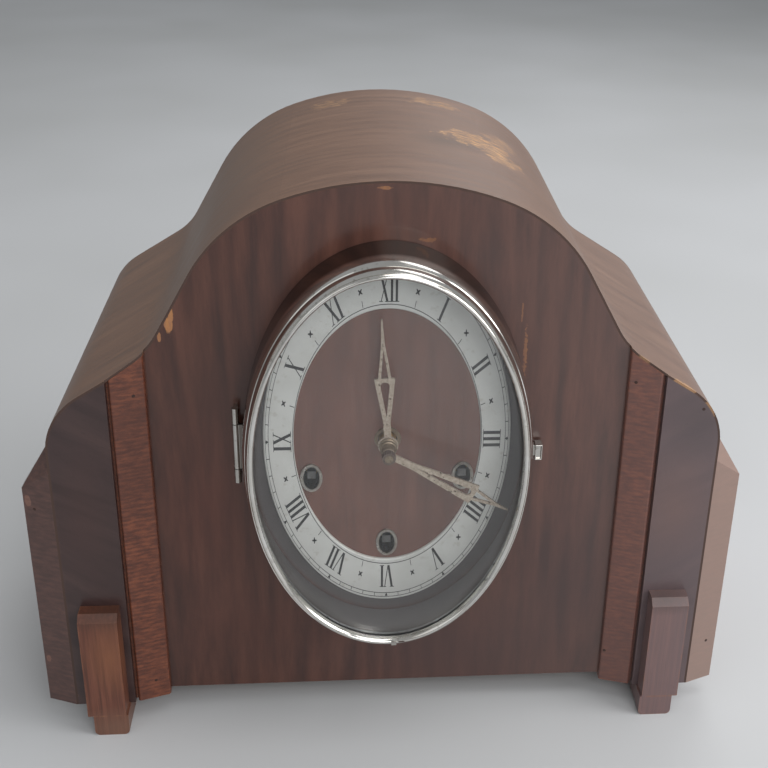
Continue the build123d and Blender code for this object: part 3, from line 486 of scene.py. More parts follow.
def woodMaterial(name, ownLook):
    look = {**woodCommon, **ownLook}
    material, tree, shader = newMaterial(name, {
        "Coat Weight": look["varnish"], "Coat Roughness": look["varnishBlur"],
        "Specular IOR Level": look["shine"]})
    coords = objectCoords(tree)
    grain = useGroup(tree, woodGrain, {"Line Scale": look["lineScale"], "Warp": look["warp"],
                                       "Pore Scale": look["poreScale"], "Band Share": look["bandShare"]})
    feed(tree, grain, "Vector", layGrain(tree, coords, look))
    fibre = ranged(tree, grain.outputs["Fibre"], *look["fibreRange"])
    bared = mixColour(tree, fibre, tint(*look["bareDark"]), tint(*look["bare"]))
    edges = useGroup(tree, wornEdge, {"Width": look["edgeWidth"]})
    feed(tree, edges, "Vector", coords)
    wear = times(tree, edges.outputs["Mask"], look["edgeShare"])
    colour = mixColour(tree, wear, woodTone(tree, coords, grain, look), bared)
    colour = placedTones(tree, coords, colour, look)
    for spot in wornSpots(tree, coords, look):
        colour = mixColour(tree, spot, colour, bared)
        wear = sums(tree, "MAXIMUM", wear, spot)
    feed(tree, shader, "Base Color", colour)
    gloss = ranged(tree, grain.outputs["Figure"], *look["glossRange"], *look["rough"])
    feed(tree, shader, "Roughness", sums(tree, "ADD", gloss, times(tree, wear, look["wornRough"])))
    relief = times(tree, grain.outputs["Fibre"], look["fibreDepth"])
    relief = sums(tree, "SUBTRACT", relief, grain.outputs["Pores"])
    relief = sums(tree, "SUBTRACT", relief, times(tree, wear, look["wornDepth"]))
    bumpFrom(tree, shader, relief, look["relief"], look["reliefDepth"])
    return material


alongX, upright = (0, 90, 0), (0, 0, 0)  # turns that lay the grain along Z

# Tones are (centre, size, colour, share), scuffs (centre, size, share)
# and chips (centre, size, ragged, breaks, share), in mm
# Each wood's sheen tone and share below set how much painted sheen it takes towards the right (+X).
centrePanel = {
    "dark": (56, 30, 23), "mid": (76, 43, 33), "light": (90, 54, 42), "patch": (62, 36, 29),
    "pore": (44, 24, 19), "bare": (182, 124, 70), "bareDark": (150, 104, 76), "grainTurn": upright,
    "drawOut": 0.14, "lineScale": 165.0, "warp": 0.022, "poreScale": 2100.0, "poreShare": 0.15,
    "rough": (0.30, 0.42), "varnish": 0.4, "varnishBlur": 0.12, "edgeWidth": 0.0008, "edgeShare": 0.12,
    "sheenShare": 0.16, "streakShare": 0.35, "patchShare": 0.5, "relief": 0.02,
    "tones": [((-62, -49.8, 92), (30, 20, 50), (88, 44, 31), 0.4),
              ((68, -49.8, 62), (28, 20, 56), (58, 44, 45), 0.45),
              ((-50, -49.8, 40), (40, 20, 26), (84, 44, 32), 0.3),
              ((20, -49.8, 26), (50, 20, 24), (64, 46, 46), 0.4),
              ((0, -49.8, 200), (40, 20, 16), (88, 50, 38), 0.35)],
    "dial": {"middle": (-1.1, -49.8, 119.5), "outer": (50.4, 20, 75.1), "inner": (41, 20, 61),
             "added": (66, 41, 32), "grey": (85, 80, 80)},
    "chips": [((-73.7, -49.8, 167.6), (1.0, 3, 3.0), 0.9, 380.0, 0.9),
              ((-74.6, -49.8, 164.2), (1.5, 3, 3.2), 0.9, 380.0, 0.9),
              ((-77.9, -49.8, 159.6), (0.7, 3, 2.0), 0.9, 500.0, 0.8),
              ((-2.4, -49.8, 212.3), (2.6, 3, 0.7), 1.6, 420.0, 0.5),
              ((11.6, -49.8, 194.3), (2.6, 3, 0.9), 3.0, 600.0, 0.3),
              ((44.5, -49.8, 168.0), (0.35, 3, 4.0), 2.6, 900.0, 0.3),
              ((46.4, -49.8, 152.0), (0.6, 3, 9.0), 4.2, 1100.0, 0.4)],
}
crossBand = {
    "dark": (78, 41, 29), "mid": (98, 53, 37), "light": (122, 68, 45), "patch": (76, 41, 31),
    "pore": (66, 35, 26), "bare": (158, 92, 60), "bareDark": (130, 76, 52), "grainTurn": alongX,
    "drawOut": 0.045, "lineScale": 820.0, "warp": 0.003, "poreScale": 2600.0, "poreShare": 0.3,
    "rough": (0.32, 0.44), "varnish": 0.3, "edgeWidth": 0.0014, "edgeShare": 0.5, "sheenShare": 0.3,
    "streakShare": 0.25, "relief": 0.15, "sheenTone": (130, 106, 104), "patchScale": 32.0, "patchShare": 0.55,
}
curlColumn = {
    "dark": (46, 31, 30), "mid": (58, 41, 40), "light": (70, 51, 48), "patch": (66, 42, 38),
    "pore": (38, 26, 25), "bare": (140, 96, 72), "bareDark": (112, 76, 60), "grainTurn": (0, 60, 0),
    "matched": True, "drawOut": 0.22, "lineScale": 90.0, "warp": 0.05, "poreScale": 2200.0,
    "poreShare": 0.25, "rough": (0.32, 0.44), "varnish": 0.35, "edgeWidth": 0.0008, "edgeShare": 0.1,
    "sheenShare": 0.32, "streakShare": 0.3, "patchScale": 22.0, "sheenTone": (140, 124, 128), "relief": 0.12,
    "tones": [((104, -55.8, 92), (20, 12, 30), (118, 90, 82), 0.4),
              ((110, -55.8, 128), (18, 12, 20), (66, 58, 60), 0.5),
              ((-108, -55.8, 88), (18, 12, 30), (74, 48, 43), 0.4)],
    "chips": [((-120.0, -55.8, 13.2), (2.8, 6, 1.6), 2.0, 380.0, 0.7),
              ((112.0, -55.8, 12.0), (2.0, 6, 1.2), 2.0, 420.0, 0.5)],
}
sideWing = {
    "dark": (66, 43, 38), "mid": (80, 53, 47), "light": (94, 64, 56), "patch": (70, 46, 41),
    "pore": (50, 32, 28), "bare": (140, 100, 86), "bareDark": (120, 84, 72), "grainTurn": alongX,
    "drawOut": 0.05, "lineScale": 620.0, "warp": 0.004, "poreScale": 2300.0, "poreShare": 0.3,
    "rough": (0.33, 0.46), "varnish": 0.3, "edgeWidth": 0.0010, "edgeShare": 0.1, "sheenShare": 0.5,
    "sheenTone": (176, 150, 138), "streakShare": 0.3, "relief": 0.12,
    "chips": [((-126.9, -52.6, 98.0), (1.3, 6, 2.4), 0.8, 420.0, 0.7),
              ((-127.0, -52.6, 28.4), (1.0, 6, 1.7), 0.8, 420.0, 0.7)],
}
footWood = {
    "dark": (82, 47, 35), "mid": (100, 58, 43), "light": (116, 70, 53), "patch": (90, 52, 39),
    "pore": (62, 36, 27), "bare": (158, 106, 74), "bareDark": (132, 88, 64), "grainTurn": upright,
    "drawOut": 0.04, "lineScale": 760.0, "warp": 0.003, "poreScale": 2400.0, "poreShare": 0.3,
    "rough": (0.34, 0.48), "edgeWidth": 0.0012, "edgeShare": 0.6, "sheenShare": 0.45,
    "sheenTone": (132, 122, 127), "streakShare": 0.2, "relief": 0.15,
    "tones": [((-102, -62, 56), (20, 20, 9), (66, 44, 35), 0.8),
              ((-102, -62, 36), (10, 20, 18), (136, 86, 54), 0.5),
              ((-102, -62, 3), (20, 20, 11), (120, 92, 76), 0.5),
              ((104, -62, 56), (20, 20, 8), (74, 62, 60), 0.8)],
}
fadedTop = {
    "dark": (98, 70, 53), "mid": (113, 83, 65), "light": (125, 95, 76), "patch": (104, 79, 64),
    "pore": (84, 62, 50), "bare": (204, 163, 120), "bareDark": (176, 134, 96), "bent": True,
    "drawOut": 0.08, "lineScale": 330.0, "warp": 0.006, "bandShare": 0.0, "poreScale": 2300.0,
    "poreShare": 0.3, "rough": (0.42, 0.56), "varnish": 0.1, "edgeWidth": 0.0010, "edgeShare": 0.12,
    "patchShare": 0.35, "streakShare": 0.25, "sheenShare": 0.25, "relief": 0.15, "strokeScale": 1500.0,
    "frontEdge": (70, 50, 42),
    "tones": [((21, 5, 211), (16, 12, 12), (84, 68, 58), 0.6),
              # this tone darkens the left slope of the top to an olive brown: painted shade
              ((-60, 10, 180), (40, 60, 40), (100, 86, 74), 0.4)],
    "chips": [((103, -56, 142), (7, 2.2, 4), 2.4, 700.0, 0.6),
              ((113, -56, 133), (3, 2.2, 4), 2.4, 700.0, 0.5),
              ((88, -54, 152), (3, 2.2, 3), 2.6, 700.0, 0.4)],
    "scuffs": [((33.5, 17.5, 208.5), (16, 10, 10), 1.0), ((42.0, 4.0, 205.5), (10, 8, 7), 0.9),
               ((20.0, 60.0, 212.5), (11, 6, 7), 0.7), ((-21.5, 58.0, 212.0), (9, 6, 7), 0.5),
               ((45.0, 30.0, 204.0), (9, 8, 7), 0.6)],
}
carcassWood = {
    "dark": (112, 80, 52), "mid": (142, 106, 72), "light": (166, 128, 92), "patch": (124, 92, 64),
    "pore": (88, 60, 40), "bare": (190, 156, 116), "bareDark": (166, 132, 96), "grainTurn": alongX,
    "drawOut": 0.08, "lineScale": 170.0, "warp": 0.012, "poreScale": 2000.0, "rough": (0.55, 0.72),
    "varnish": 0.0, "edgeWidth": 0.0010, "edgeShare": 0.4,
}
woods = {
    "panel_wood": woodMaterial("panelWalnut", centrePanel),
    "strip_wood": woodMaterial("crossBandedStrip", crossBand),
    "column_wood": woodMaterial("curledColumn", curlColumn),
    "wing_wood": woodMaterial("wingWood", sideWing),
    "foot_wood": woodMaterial("footWood", footWood),
    "top_veneer": woodMaterial("fadedTopVeneer", fadedTop),
    "carcass_wood": woodMaterial("carcassPly", carcassWood),
}
print("woods made")

metalCommon = {
    "metallic": 1.0, "relief": 0.08, "reliefDepth": 0.00005, "speckRough": 0.3, "rubbedShare": 0.3,
}


def metalMaterial(name, ownLook):
    look = {**metalCommon, **ownLook}
    material, tree, shader = newMaterial(name, {"Metallic": look["metallic"]})
    coords = objectCoords(tree)
    age = useGroup(tree, metalAge, {"Stain Scale": look["stainScale"], "Speck Scale": look["speckScale"]})
    feed(tree, age, "Vector", coords)
    stained = times(tree, age.outputs["Stain"], look["stainShare"])
    colour = mixColour(tree, stained, tint(*look["bright"]), tint(*look["stain"]))
    specked = times(tree, age.outputs["Specks"], look["speckShare"])
    colour = mixColour(tree, specked, colour, tint(*look["speck"]))
    if "shift" in look:  # painted light and shade: a lighter or darker tone past a line across one axis
        axis, begin, full, toned, share = look["shift"]
        mask = ranged(tree, alongAxis(tree, coords, axis), begin * mm, full * mm, 0.0, share)
        colour = mixColour(tree, mask, colour, tint(*toned))
    feed(tree, shader, "Base Color", colour)
    gloss = ranged(tree, age.outputs["Stain"], 0.0, 1.0, *look["rough"])
    feed(tree, shader, "Roughness", sums(tree, "ADD", gloss, times(tree, specked, look["speckRough"])))
    relief = sums(tree, "SUBTRACT", times(tree, age.outputs["Rubbed"], look["rubbedShare"]), specked)
    bumpFrom(tree, shader, relief, look["relief"], look["reliefDepth"])
    return material


chromeLook = {
    "bright": (196, 194, 190), "stain": (158, 149, 138), "speck": (92, 80, 66), "stainScale": 70.0,
    "speckScale": 520.0, "stainShare": 0.6, "speckShare": 0.5, "rough": (0.10, 0.22),
}
bezelLook = {
    **chromeLook, "bright": (226, 224, 220), "stain": (184, 176, 164), "speckShare": 0.25,
    "stainShare": 0.5, "rough": (0.08, 0.17), "relief": 0.03,
    # the drum wall is darker near the panel: painted shade and a painted reflection of the dark panel
    "shift": ("Y", -64.2, -61.6, (108, 94, 86), 0.92),
}
# the strap is darker from x = -52.5 mm towards the bezel: painted shade
strapLook = {**chromeLook, "shift": ("X", -52.8, -52.5, (92, 84, 78), 0.9)}
liningLook = {
    "metallic": 0.3, "bright": (94, 90, 89), "stain": (80, 76, 75), "speck": (68, 62, 58),
    "stainScale": 60.0, "speckScale": 420.0, "stainShare": 0.7, "speckShare": 0.3, "rough": (0.42, 0.55),
    # the lining grows lighter towards the right (+X): painted light
    "shift": ("X", -30, 42, (136, 132, 132), 0.8),
}
colletLook = {
    "metallic": 0.6, "bright": (134, 118, 98), "stain": (98, 84, 68), "speck": (60, 48, 38),
    "stainScale": 200.0, "speckScale": 900.0, "stainShare": 0.7, "speckShare": 0.6, "rough": (0.32, 0.46),
}
nutLook = {**colletLook, "bright": (104, 88, 80), "stain": (74, 60, 54)}
windingLook = {"bright": (112, 111, 110), "stain": (78, 74, 70), "speck": (56, 46, 38), "stainScale": 160.0,
               "speckScale": 900.0, "stainShare": 0.8, "speckShare": 0.5, "rough": (0.28, 0.42)}
rimLook = {"bright": (178, 172, 164), "stain": (118, 110, 100), "speck": (50, 42, 34), "stainScale": 240.0,
           "speckScale": 900.0, "stainShare": 0.8, "speckShare": 0.6, "rough": (0.24, 0.42)}
silveredLook = {
    "metallic": 0.1, "bright": (208, 208, 204), "stain": (192, 191, 186), "speck": (150, 140, 122),
    "stainScale": 90.0, "speckScale": 460.0, "stainShare": 0.6, "speckShare": 0.25, "rough": (0.42, 0.55),
}
handLook = {
    "metallic": 0.2, "bright": (178, 164, 148), "stain": (124, 108, 94), "speck": (82, 66, 52),
    "stainScale": 1000.0, "speckScale": 800.0, "stainShare": 0.8, "speckShare": 1.0, "rough": (0.40, 0.55),
    "relief": 0.2,
}
brassLook = {"bright": (204, 168, 96), "stain": (150, 116, 62), "speck": (84, 62, 36), "stainScale": 55.0,
             "speckScale": 700.0, "stainShare": 0.7, "speckShare": 0.4, "rough": (0.26, 0.44)}
steelLook = {"bright": (176, 178, 182), "stain": (128, 126, 124), "speck": (80, 66, 56), "stainScale": 75.0,
             "speckScale": 800.0, "stainShare": 0.6, "speckShare": 0.4, "rough": (0.26, 0.42)}
ironLook = {
    "metallic": 0.3, "bright": (50, 50, 52), "stain": (36, 35, 35), "speck": (84, 58, 42),
    "stainScale": 80.0, "speckScale": 500.0, "stainShare": 0.8, "speckShare": 0.5, "rough": (0.55, 0.72),
    "relief": 0.5,
}
inkLook = {
    "metallic": 0.0, "bright": (34, 34, 36), "stain": (48, 47, 47), "speck": (70, 69, 68),
    "stainScale": 220.0, "speckScale": 1600.0, "stainShare": 0.6, "speckShare": 0.4, "rough": (0.45, 0.6),
}
fillerLook = {
    "metallic": 0.0, "bright": (48, 28, 22), "stain": (66, 40, 30), "speck": (30, 18, 14),
    "stainScale": 400.0, "speckScale": 1600.0, "stainShare": 0.6, "speckShare": 0.5, "rough": (0.5, 0.65),
}
metals = {
    "chrome": metalMaterial("wornChrome", chromeLook),
    "silvered": metalMaterial("silveredRing", silveredLook),
    "hand_metal": metalMaterial("pittedHands", handLook),
    "brass": metalMaterial("dullBrass", brassLook),
    "steel": metalMaterial("clockSteel", steelLook),
    "iron": metalMaterial("blackedIron", ironLook),
}
bezelChrome = metalMaterial("bezelChrome", bezelLook)
hingeStrap = metalMaterial("hingeStrap", strapLook)
bezelLining = metalMaterial("bezelLining", liningLook)
colletBrass = metalMaterial("colletBrass", colletLook)
nutBrass = metalMaterial("nutBrass", nutLook)
windingSteel = metalMaterial("windingSteel", windingLook)
agedRim = metalMaterial("agedEyelet", rimLook)
dialInk = metalMaterial("dialInk", inkLook)
nailFiller = metalMaterial("nailFiller", fillerLook)


def glassMaterial(look):  # lets lamps through, so the dial is lit
    material, tree, shader = newMaterial("domedGlass", {
        "Roughness": 0.0, "Transmission Weight": 1.0, "IOR": look["bend"], "Metallic": 0.0})
    coords = objectCoords(tree)
    haze = noiseOf(tree, coords, look["hazeScale"], 4.0, 0.6)
    dusty = ranged(tree, haze.outputs[0], *look["hazeRange"])
    feed(tree, shader, "Base Color", mixColour(tree, dusty, tint(*look["clear"]), tint(*look["dusty"])))
    ripple = noiseOf(tree, coords, look["rippleScale"], 2.0)
    bumpFrom(tree, shader, ripple.outputs[0], look["ripple"], look["rippleDepth"])
    path = put(tree, "LightPath")
    through = put(tree, "BsdfTransparent")
    choose = put(tree, "MixShader")
    either = sums(tree, "MAXIMUM", path.outputs["Is Shadow Ray"], path.outputs["Is Diffuse Ray"])
    feed(tree, choose, 0, either)
    wire(tree, shader, "BSDF", choose, 1)
    wire(tree, through, "BSDF", choose, 2)
    output = next(n for n in tree.nodes if n.type == "OUTPUT_MATERIAL")
    wire(tree, choose, "Shader", output, "Surface")
    return material


glassLook = {
    "clear": (252, 253, 253), "dusty": (244, 246, 246), "bend": 1.5, "hazeScale": 40.0,
    "hazeRange": (0.35, 0.70), "rippleScale": 30.0, "ripple": 0.02, "rippleDepth": 0.0002,
}
finishes = {**woods, **metals, "glass": glassMaterial(glassLook)}
print("metals and glass made")

for subpart in frame["record"]["subparts"]:
    shown = nodes[subpart["node"]].data
    shown.materials.clear()
    shown.materials.append(finishes[subpart["material_slot"]])
nodes["winding_eyelets"].data.materials[0] = agedRim
nodes["bezel_ring"].data.materials[0] = bezelChrome
nodes["bezel_hinge_strap"].data.materials[0] = hingeStrap
nodes["hand_nut"].data.materials[0] = nutBrass
for turned in ("centre_arbor", "cannon_pinion"):
    nodes[turned].data.materials[0] = colletBrass
for train in ("time", "strike", "chime"):
    nodes[train + "_winding_arbor"].data.materials[0] = windingSteel
print("frame dressed")


# Printed marks of the chapter ring, drawn as on a round dial and then drawn in to the ring's oval
dialMarks = {
    "numeralHeight": 9.8, "numeralRadius": 58.2, "thick": 1.25, "thin": 0.45, "serif": 0.3,
    "widths": {"I": 2.55, "V": 5.2, "X": 5.5},
    "strokes": {"I": [("thick", 0, 0)], "V": [("thick", -2.1, -0.9), ("thin", 1.8, 1.35)],
                "X": [("thick", -3.4, 0), ("thin", 3.4, 0)]},
    "serifs": {"I": [("thick", 1.4, 0, 1), ("thick", 1.4, 0, -1)],
               "V": [("thick", 1.2, -1.95, 1), ("thin", 1.3, 2.25, 1)],
               "X": [("thick", 1.3, 1.7, -1), ("thick", 1.3, -1.7, 1), ("thin", 1.5, 1.7, 1),
                     ("thin", 1.5, -1.7, -1)]},
    "circleSides": 240, "lineRadius": 65.9, "lineWidth": 0.26, "outerRadius": 67.6, "outerWidth": 0.22,
    "innerRadius": 52.6, "innerWidth": 0.3, "tick": (0.3, 1.6), "tickRadius": 66.7, "hourMark": 0.9,
    "hourMarkTip": 0.3, "starArm": (0.42, 2.7), "starFull": 2.2, "starRadius": 58.8, "halfTick": (0.3, 2.6),
    "halfTickRadius": 54.2, "thickness": 0.06, "proud": 0.04,
}
numeralNames = ["XII", "I", "II", "III", "IIII", "V", "VI", "VII", "VIII", "IX", "X", "XI"]


def inkBar(width, height, lean=0.0, side=0.0, level=0.0):  # flat bar, its top end moved sideways by lean
    deselectAll()
    bpy.ops.mesh.primitive_plane_add(size=1, rotation=(math.pi / 2, 0, 0))
    bar = bpy.context.object
    bar.scale = (width * mm, height * mm, 1)
    settle(bar)
    pick(bar, "VERT", lambda co: co.z > 0)
    bpy.ops.transform.translate(value=(lean * mm, 0, 0))
    bpy.ops.mesh.select_all(action="SELECT")
    bpy.ops.transform.translate(value=((side - lean / 2) * mm, 0, level * mm))
    objectMode()
    return bar


def inkLetter(sign, look):  # strokes are (kind, lean, side), serifs (kind, longer by, side, up or down)
    tall, foot = look["numeralHeight"], look["serif"]
    end = (tall - foot) / 2
    bars = [inkBar(look[kind], tall, lean, side) for kind, lean, side in look["strokes"][sign]]
    for kind, longer, side, way in look["serifs"][sign]:
        bars.append(inkBar(look[kind] + longer, foot, side=side, level=way * end))
    return joinAll(bars, "letter" + sign)


def inkCircle(sides, radius, width):
    line = flatCircle(sides, radius)
    pick(line, "VERT", anyPlace)
    nextRing(0, 1 - width / radius, 1 - width / radius)
    pointOut()
    faceFront(line)
    return line


def onDial(angle, radius, side=0.0, turn=0.0):  # a place on the round dial, clockwise from the top
    place = Matrix.Rotation(math.radians(angle), 4, "Y") @ Matrix.Translation((side * mm, 0, radius * mm))
    return place @ Matrix.Rotation(math.radians(turn), 4, "Y")


def printOnRing(parts, name, look):
    low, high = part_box("chapter_ring")
    ink = joinAll(parts, name)
    ink.scale = ((high.x - low.x) / (high.z - low.z), 1, 1)
    ink.location = ((low.x + high.x) / 2, low.y - look["proud"] * mm, (low.z + high.z) / 2)
    settle(ink)
    applyModifier(ink, "SOLIDIFY", thickness=look["thickness"] * mm, offset=-1)
    ink.data.materials.clear()
    ink.data.materials.append(dialInk)
    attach(ink, "case")


def makeDialMarks(look):
    letters = {sign: inkLetter(sign, look) for sign in "IVX"}
    signs = []
    for hour, numeral in enumerate(numeralNames):
        left = -sum(look["widths"][s] for s in numeral) / 2
        for sign in numeral:
            wide = look["widths"][sign]
            signs.append(twinOf(letters[sign], onDial(hour * 30, look["numeralRadius"], left + wide / 2)))
            left += wide
    printOnRing(signs, "dial_numerals", look)

    tick = inkBar(*look["tick"])
    track = [inkCircle(look["circleSides"], look[line + "Radius"], look[line + "Width"])
             for line in ("line", "outer", "inner")]
    track += [twinOf(tick, onDial(minute * 6, look["tickRadius"])) for minute in range(60)]
    mark = flatCircle(3, look["hourMark"], "NGON")
    pick(mark, "VERT", lambda co: co.z > 0)
    bpy.ops.transform.translate(value=(0, 0, look["hourMarkTip"] * mm))
    objectMode()
    track += [twinOf(mark, onDial(hour * 30, look["tickRadius"], turn=180)) for hour in range(12)]
    printOnRing(track, "dial_minute_track", look)

    arm, halfTick = inkBar(*look["starArm"]), inkBar(*look["halfTick"])
    pick(arm, "VERT", anyPlace)
    bpy.ops.mesh.subdivide(number_cuts=1)
    objectMode()
    pick(arm, "VERT", lambda co: abs(co.z) < 0.1 * mm and abs(co.x) > 0.1 * mm)  # full in its middle
    bpy.ops.transform.resize(value=(look["starFull"], 1, 1), center_override=(0, 0, 0))
    objectMode()
    stars = []
    for half in range(12):
        angle = half * 30 + 15
        stars += [twinOf(arm, onDial(angle, look["starRadius"], turn=turn)) for turn in (45, -45)]
        stars.append(twinOf(halfTick, onDial(angle, look["halfTickRadius"])))
    printOnRing(stars, "dial_half_hour_marks", look)
    for spare in (*letters.values(), tick, mark, arm, halfTick):
        dropPiece(spare)


makeDialMarks(dialMarks)
print("dial marks printed")

# Filled nail holes in the front
nailHoles = {
    "sides": 18, "radius": 0.6, "domeIn": 0.24, "dome": 0.05, "thick": 0.3, "proud": 0.04,
    "spots": [("left_strip", -87.4, 139.2), ("right_strip", 85.9, 141.9), ("left_strip", -88.3, 17.1),
              ("right_strip", 84.6, 23.4), ("right_column", 110.5, 132.6), ("right_wing", 124.6, 27.7),
              ("left_wing", -124.8, 95.0)],
}


def faceOut(place, normal):  # turns a piece made towards -Y to look along a normal
    return Matrix.Translation(place) @ Vector((0, -1, 0)).rotation_difference(normal).to_matrix().to_4x4()


def makeNailHoles(look):
    plug = flatCircle(look["sides"], look["radius"], "NGON")
    pick(plug, "FACE", anyPlace)
    bpy.ops.mesh.inset(thickness=look["domeIn"] * mm)
    bpy.ops.transform.translate(value=(0, -look["dome"] * mm, 0))
    objectMode()
    applyModifier(plug, "SOLIDIFY", thickness=look["thick"] * mm, offset=-1)
    plugs = []
    for node, x, z in look["spots"]:
        place, normal = surfaceAt(nodes[node], (x * mm, wellInFront, z * mm), (0, 1, 0))
        plugs.append(twinOf(plug, faceOut(place + normal * look["proud"] * mm, normal)))
    dropPiece(plug)
    plugs = joinAll(plugs, "nail_fillers")
    plugs.data.materials.append(nailFiller)
    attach(plugs, "case")


makeNailHoles(nailHoles)

# Slotted wood screws on the back
backScrews = {
    "sides": 28, "firstTurn": 37, "nextTurn": 53,
    "frame": {"radius": 2.3, "slot": 0.35, "deep": 0.42, "height": 0.6, "proud": 0.1},
    "frameSpots": [(-92.0, 24.5), (0.0, 24.5), (92.0, 24.5), (-92.0, 110.0), (92.0, 110.0), (-52.0, 178.0),
                   (52.0, 178.0)],
    "hinge": {"radius": 1.5, "slot": 0.25, "deep": 0.24, "height": 0.4, "proud": 0.12},
    "leafX": 67.1, "strapX": 52.2, "hingeLevels": [65.5, 74.5, 129.5, 138.5],
}


def makeScrew(sides, head):
    screw, slot = flatCircle(sides, head["radius"], "NGON"), head["slot"]
    for x in (slot, -slot):
        pick(screw, "FACE", anyPlace)
        bpy.ops.mesh.bisect(plane_co=(x * mm, 0, 0), plane_no=(1, 0, 0))
        objectMode()
    pick(screw, "VERT", anyPlace)
    bpy.ops.mesh.select_mode(type="EDGE")
    bpy.ops.mesh.region_to_loop()
    bpy.ops.mesh.extrude_edges_move(TRANSFORM_OT_translate={"value": (0, head["height"] * mm, 0)})
    objectMode()
    pick(screw, "FACE", lambda centre: abs(centre.x) < slot * mm and abs(centre.y) < 0.01 * mm)
    bpy.ops.mesh.extrude_region_move(TRANSFORM_OT_translate={"value": (0, head["deep"] * mm, 0)})
    pointOut()
    return screw


def placeScrews(screw, node, spots, proud, look):  # copies on a node's back, each slot turned another way
    heads = []
    for number, (x, z) in enumerate(spots):
        place, normal = surfaceAt(nodes[node], (x * mm, wellBehind, z * mm), (0, -1, 0))
        twist = Matrix.Rotation(math.radians(look["firstTurn"] + look["nextTurn"] * number), 4, "Y")
        heads.append(twinOf(screw, faceOut(place + normal * proud * mm, normal) @ twist))
    return heads


def makeBackScrews(look):
    screws = {kind: makeScrew(look["sides"], look[kind]) for kind in ("frame", "hinge")}
    leafSpots, strapSpots = ([(look[x], z) for z in look["hingeLevels"]] for x in ("leafX", "strapX"))
    for kind, node, spots, name, body, slot in (
            ("frame", "back_frame", look["frameSpots"], "back_frame_screws", "case", "steel"),
            ("hinge", "door_hinge_leaves", leafSpots, "hinge_leaf_screws", "case", "brass"),
            ("hinge", "door_hinge_straps", strapSpots, "hinge_strap_screws", "back_door", "brass")):
        heads = joinAll(placeScrews(screws[kind], node, spots, look[kind]["proud"], look), name)
        heads.data.materials.append(metals[slot])
        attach(heads, body)
    for screw in screws.values():
        dropPiece(screw)


makeBackScrews(backScrews)
print("nail fillers and screws made")

# Ribbed collet in front of the hour hand's hub
handCollet = {
    "sides": 36, "smooth": 30,
    "steps": [(3.1, 0.0), (3.1, 0.7), (2.7, 0.9), (2.7, 1.6), (3.0, 1.8), (3.0, 2.5), (2.6, 2.7),
              (2.6, 3.6), (2.3, 4.3), (2.15, 4.3)],
}


def makeCollet(look):
    nut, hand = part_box("hand_nut"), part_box("hour_hand")
    middle = (nut[0] + nut[1]) / 2
    radius, level = look["steps"][0]
    collet = flatCircle(look["sides"], radius)
    pick(collet, "VERT", anyPlace)
    for nextRadius, nextLevel in look["steps"][1:]:
        nextRing(level - nextLevel, nextRadius / radius, nextRadius / radius)
        radius, level = nextRadius, nextLevel
    pointOut()
    collet.location = (middle.x, hand[0].y, middle.z)
    collet = joinAll([collet], "hand_collet")
    bpy.ops.object.shade_smooth_by_angle(angle=math.radians(look["smooth"]))
    collet.data.materials.append(colletBrass)
    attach(collet, "hour_works")


makeCollet(handCollet)

# Bush on the panel round the hour hand's pipe
handBush = {"sides": 48, "bore": 3.3, "rim": 4.6, "proud": 0.4, "edge": 0.15, "thick": 0.3}


def makeBush(look):
    nut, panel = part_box("hand_nut"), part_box("front_board")
    middle = (nut[0] + nut[1]) / 2
    bush = flatCircle(look["sides"], look["bore"])
    pick(bush, "VERT", anyPlace)
    for along, share in ((0, look["rim"] / look["bore"]), (look["proud"], 1 + look["edge"] / look["rim"])):
        nextRing(along, share, share)
    pointOut()
    faceFront(bush)
    bush.location = (middle.x, panel[0].y - look["proud"] * mm, middle.z)
    bush = joinAll([bush], "hand_bush")
    applyModifier(bush, "SOLIDIFY", thickness=look["thick"] * mm, offset=-1)
    bush.data.materials.append(colletBrass)
    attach(bush, "case")


makeBush(handBush)

# Bezel's drum, its two rolls and the lip: places are (in from the foot line, out from the panel)
bezelShell = {
    "middle": (-1.1, -49.8, 119.5), "halfWidth": 50.2, "halfHeight": 74.9, "sides": 200, "merge": 0.002,
    "smooth": 28, "wall": [(0.0, 0.3), (0.15, 7.0), (0.3, 13.4)],
    "rolls": [((0.3, 13.4), (1.5, 18.9), 0.3), ((1.75, 19.1), (2.65, 23.2), 0.3),
              ((2.85, 23.1), (4.65, 23.1), 0.85)],
    "rollSteps": 8,
    "inside": [(4.65, 21.3), (2.2, 21.0), (2.1, 19.0), (1.95, 18.0), (1.2, 13.4), (1.0, 7.0), (0.8, 0.3),
               (0.0, 0.3)],
}


def rollPlaces(start, end, rise, steps):  # points over a roll, full in its middle
    first, last = Vector(start), Vector(end)
    across = last - first
    full = Vector((-across.y, across.x)).normalized() * rise
    shares = [step / steps for step in range(steps + 1)]
    return [first + across * t + full * 4 * t * (1 - t) for t in shares]


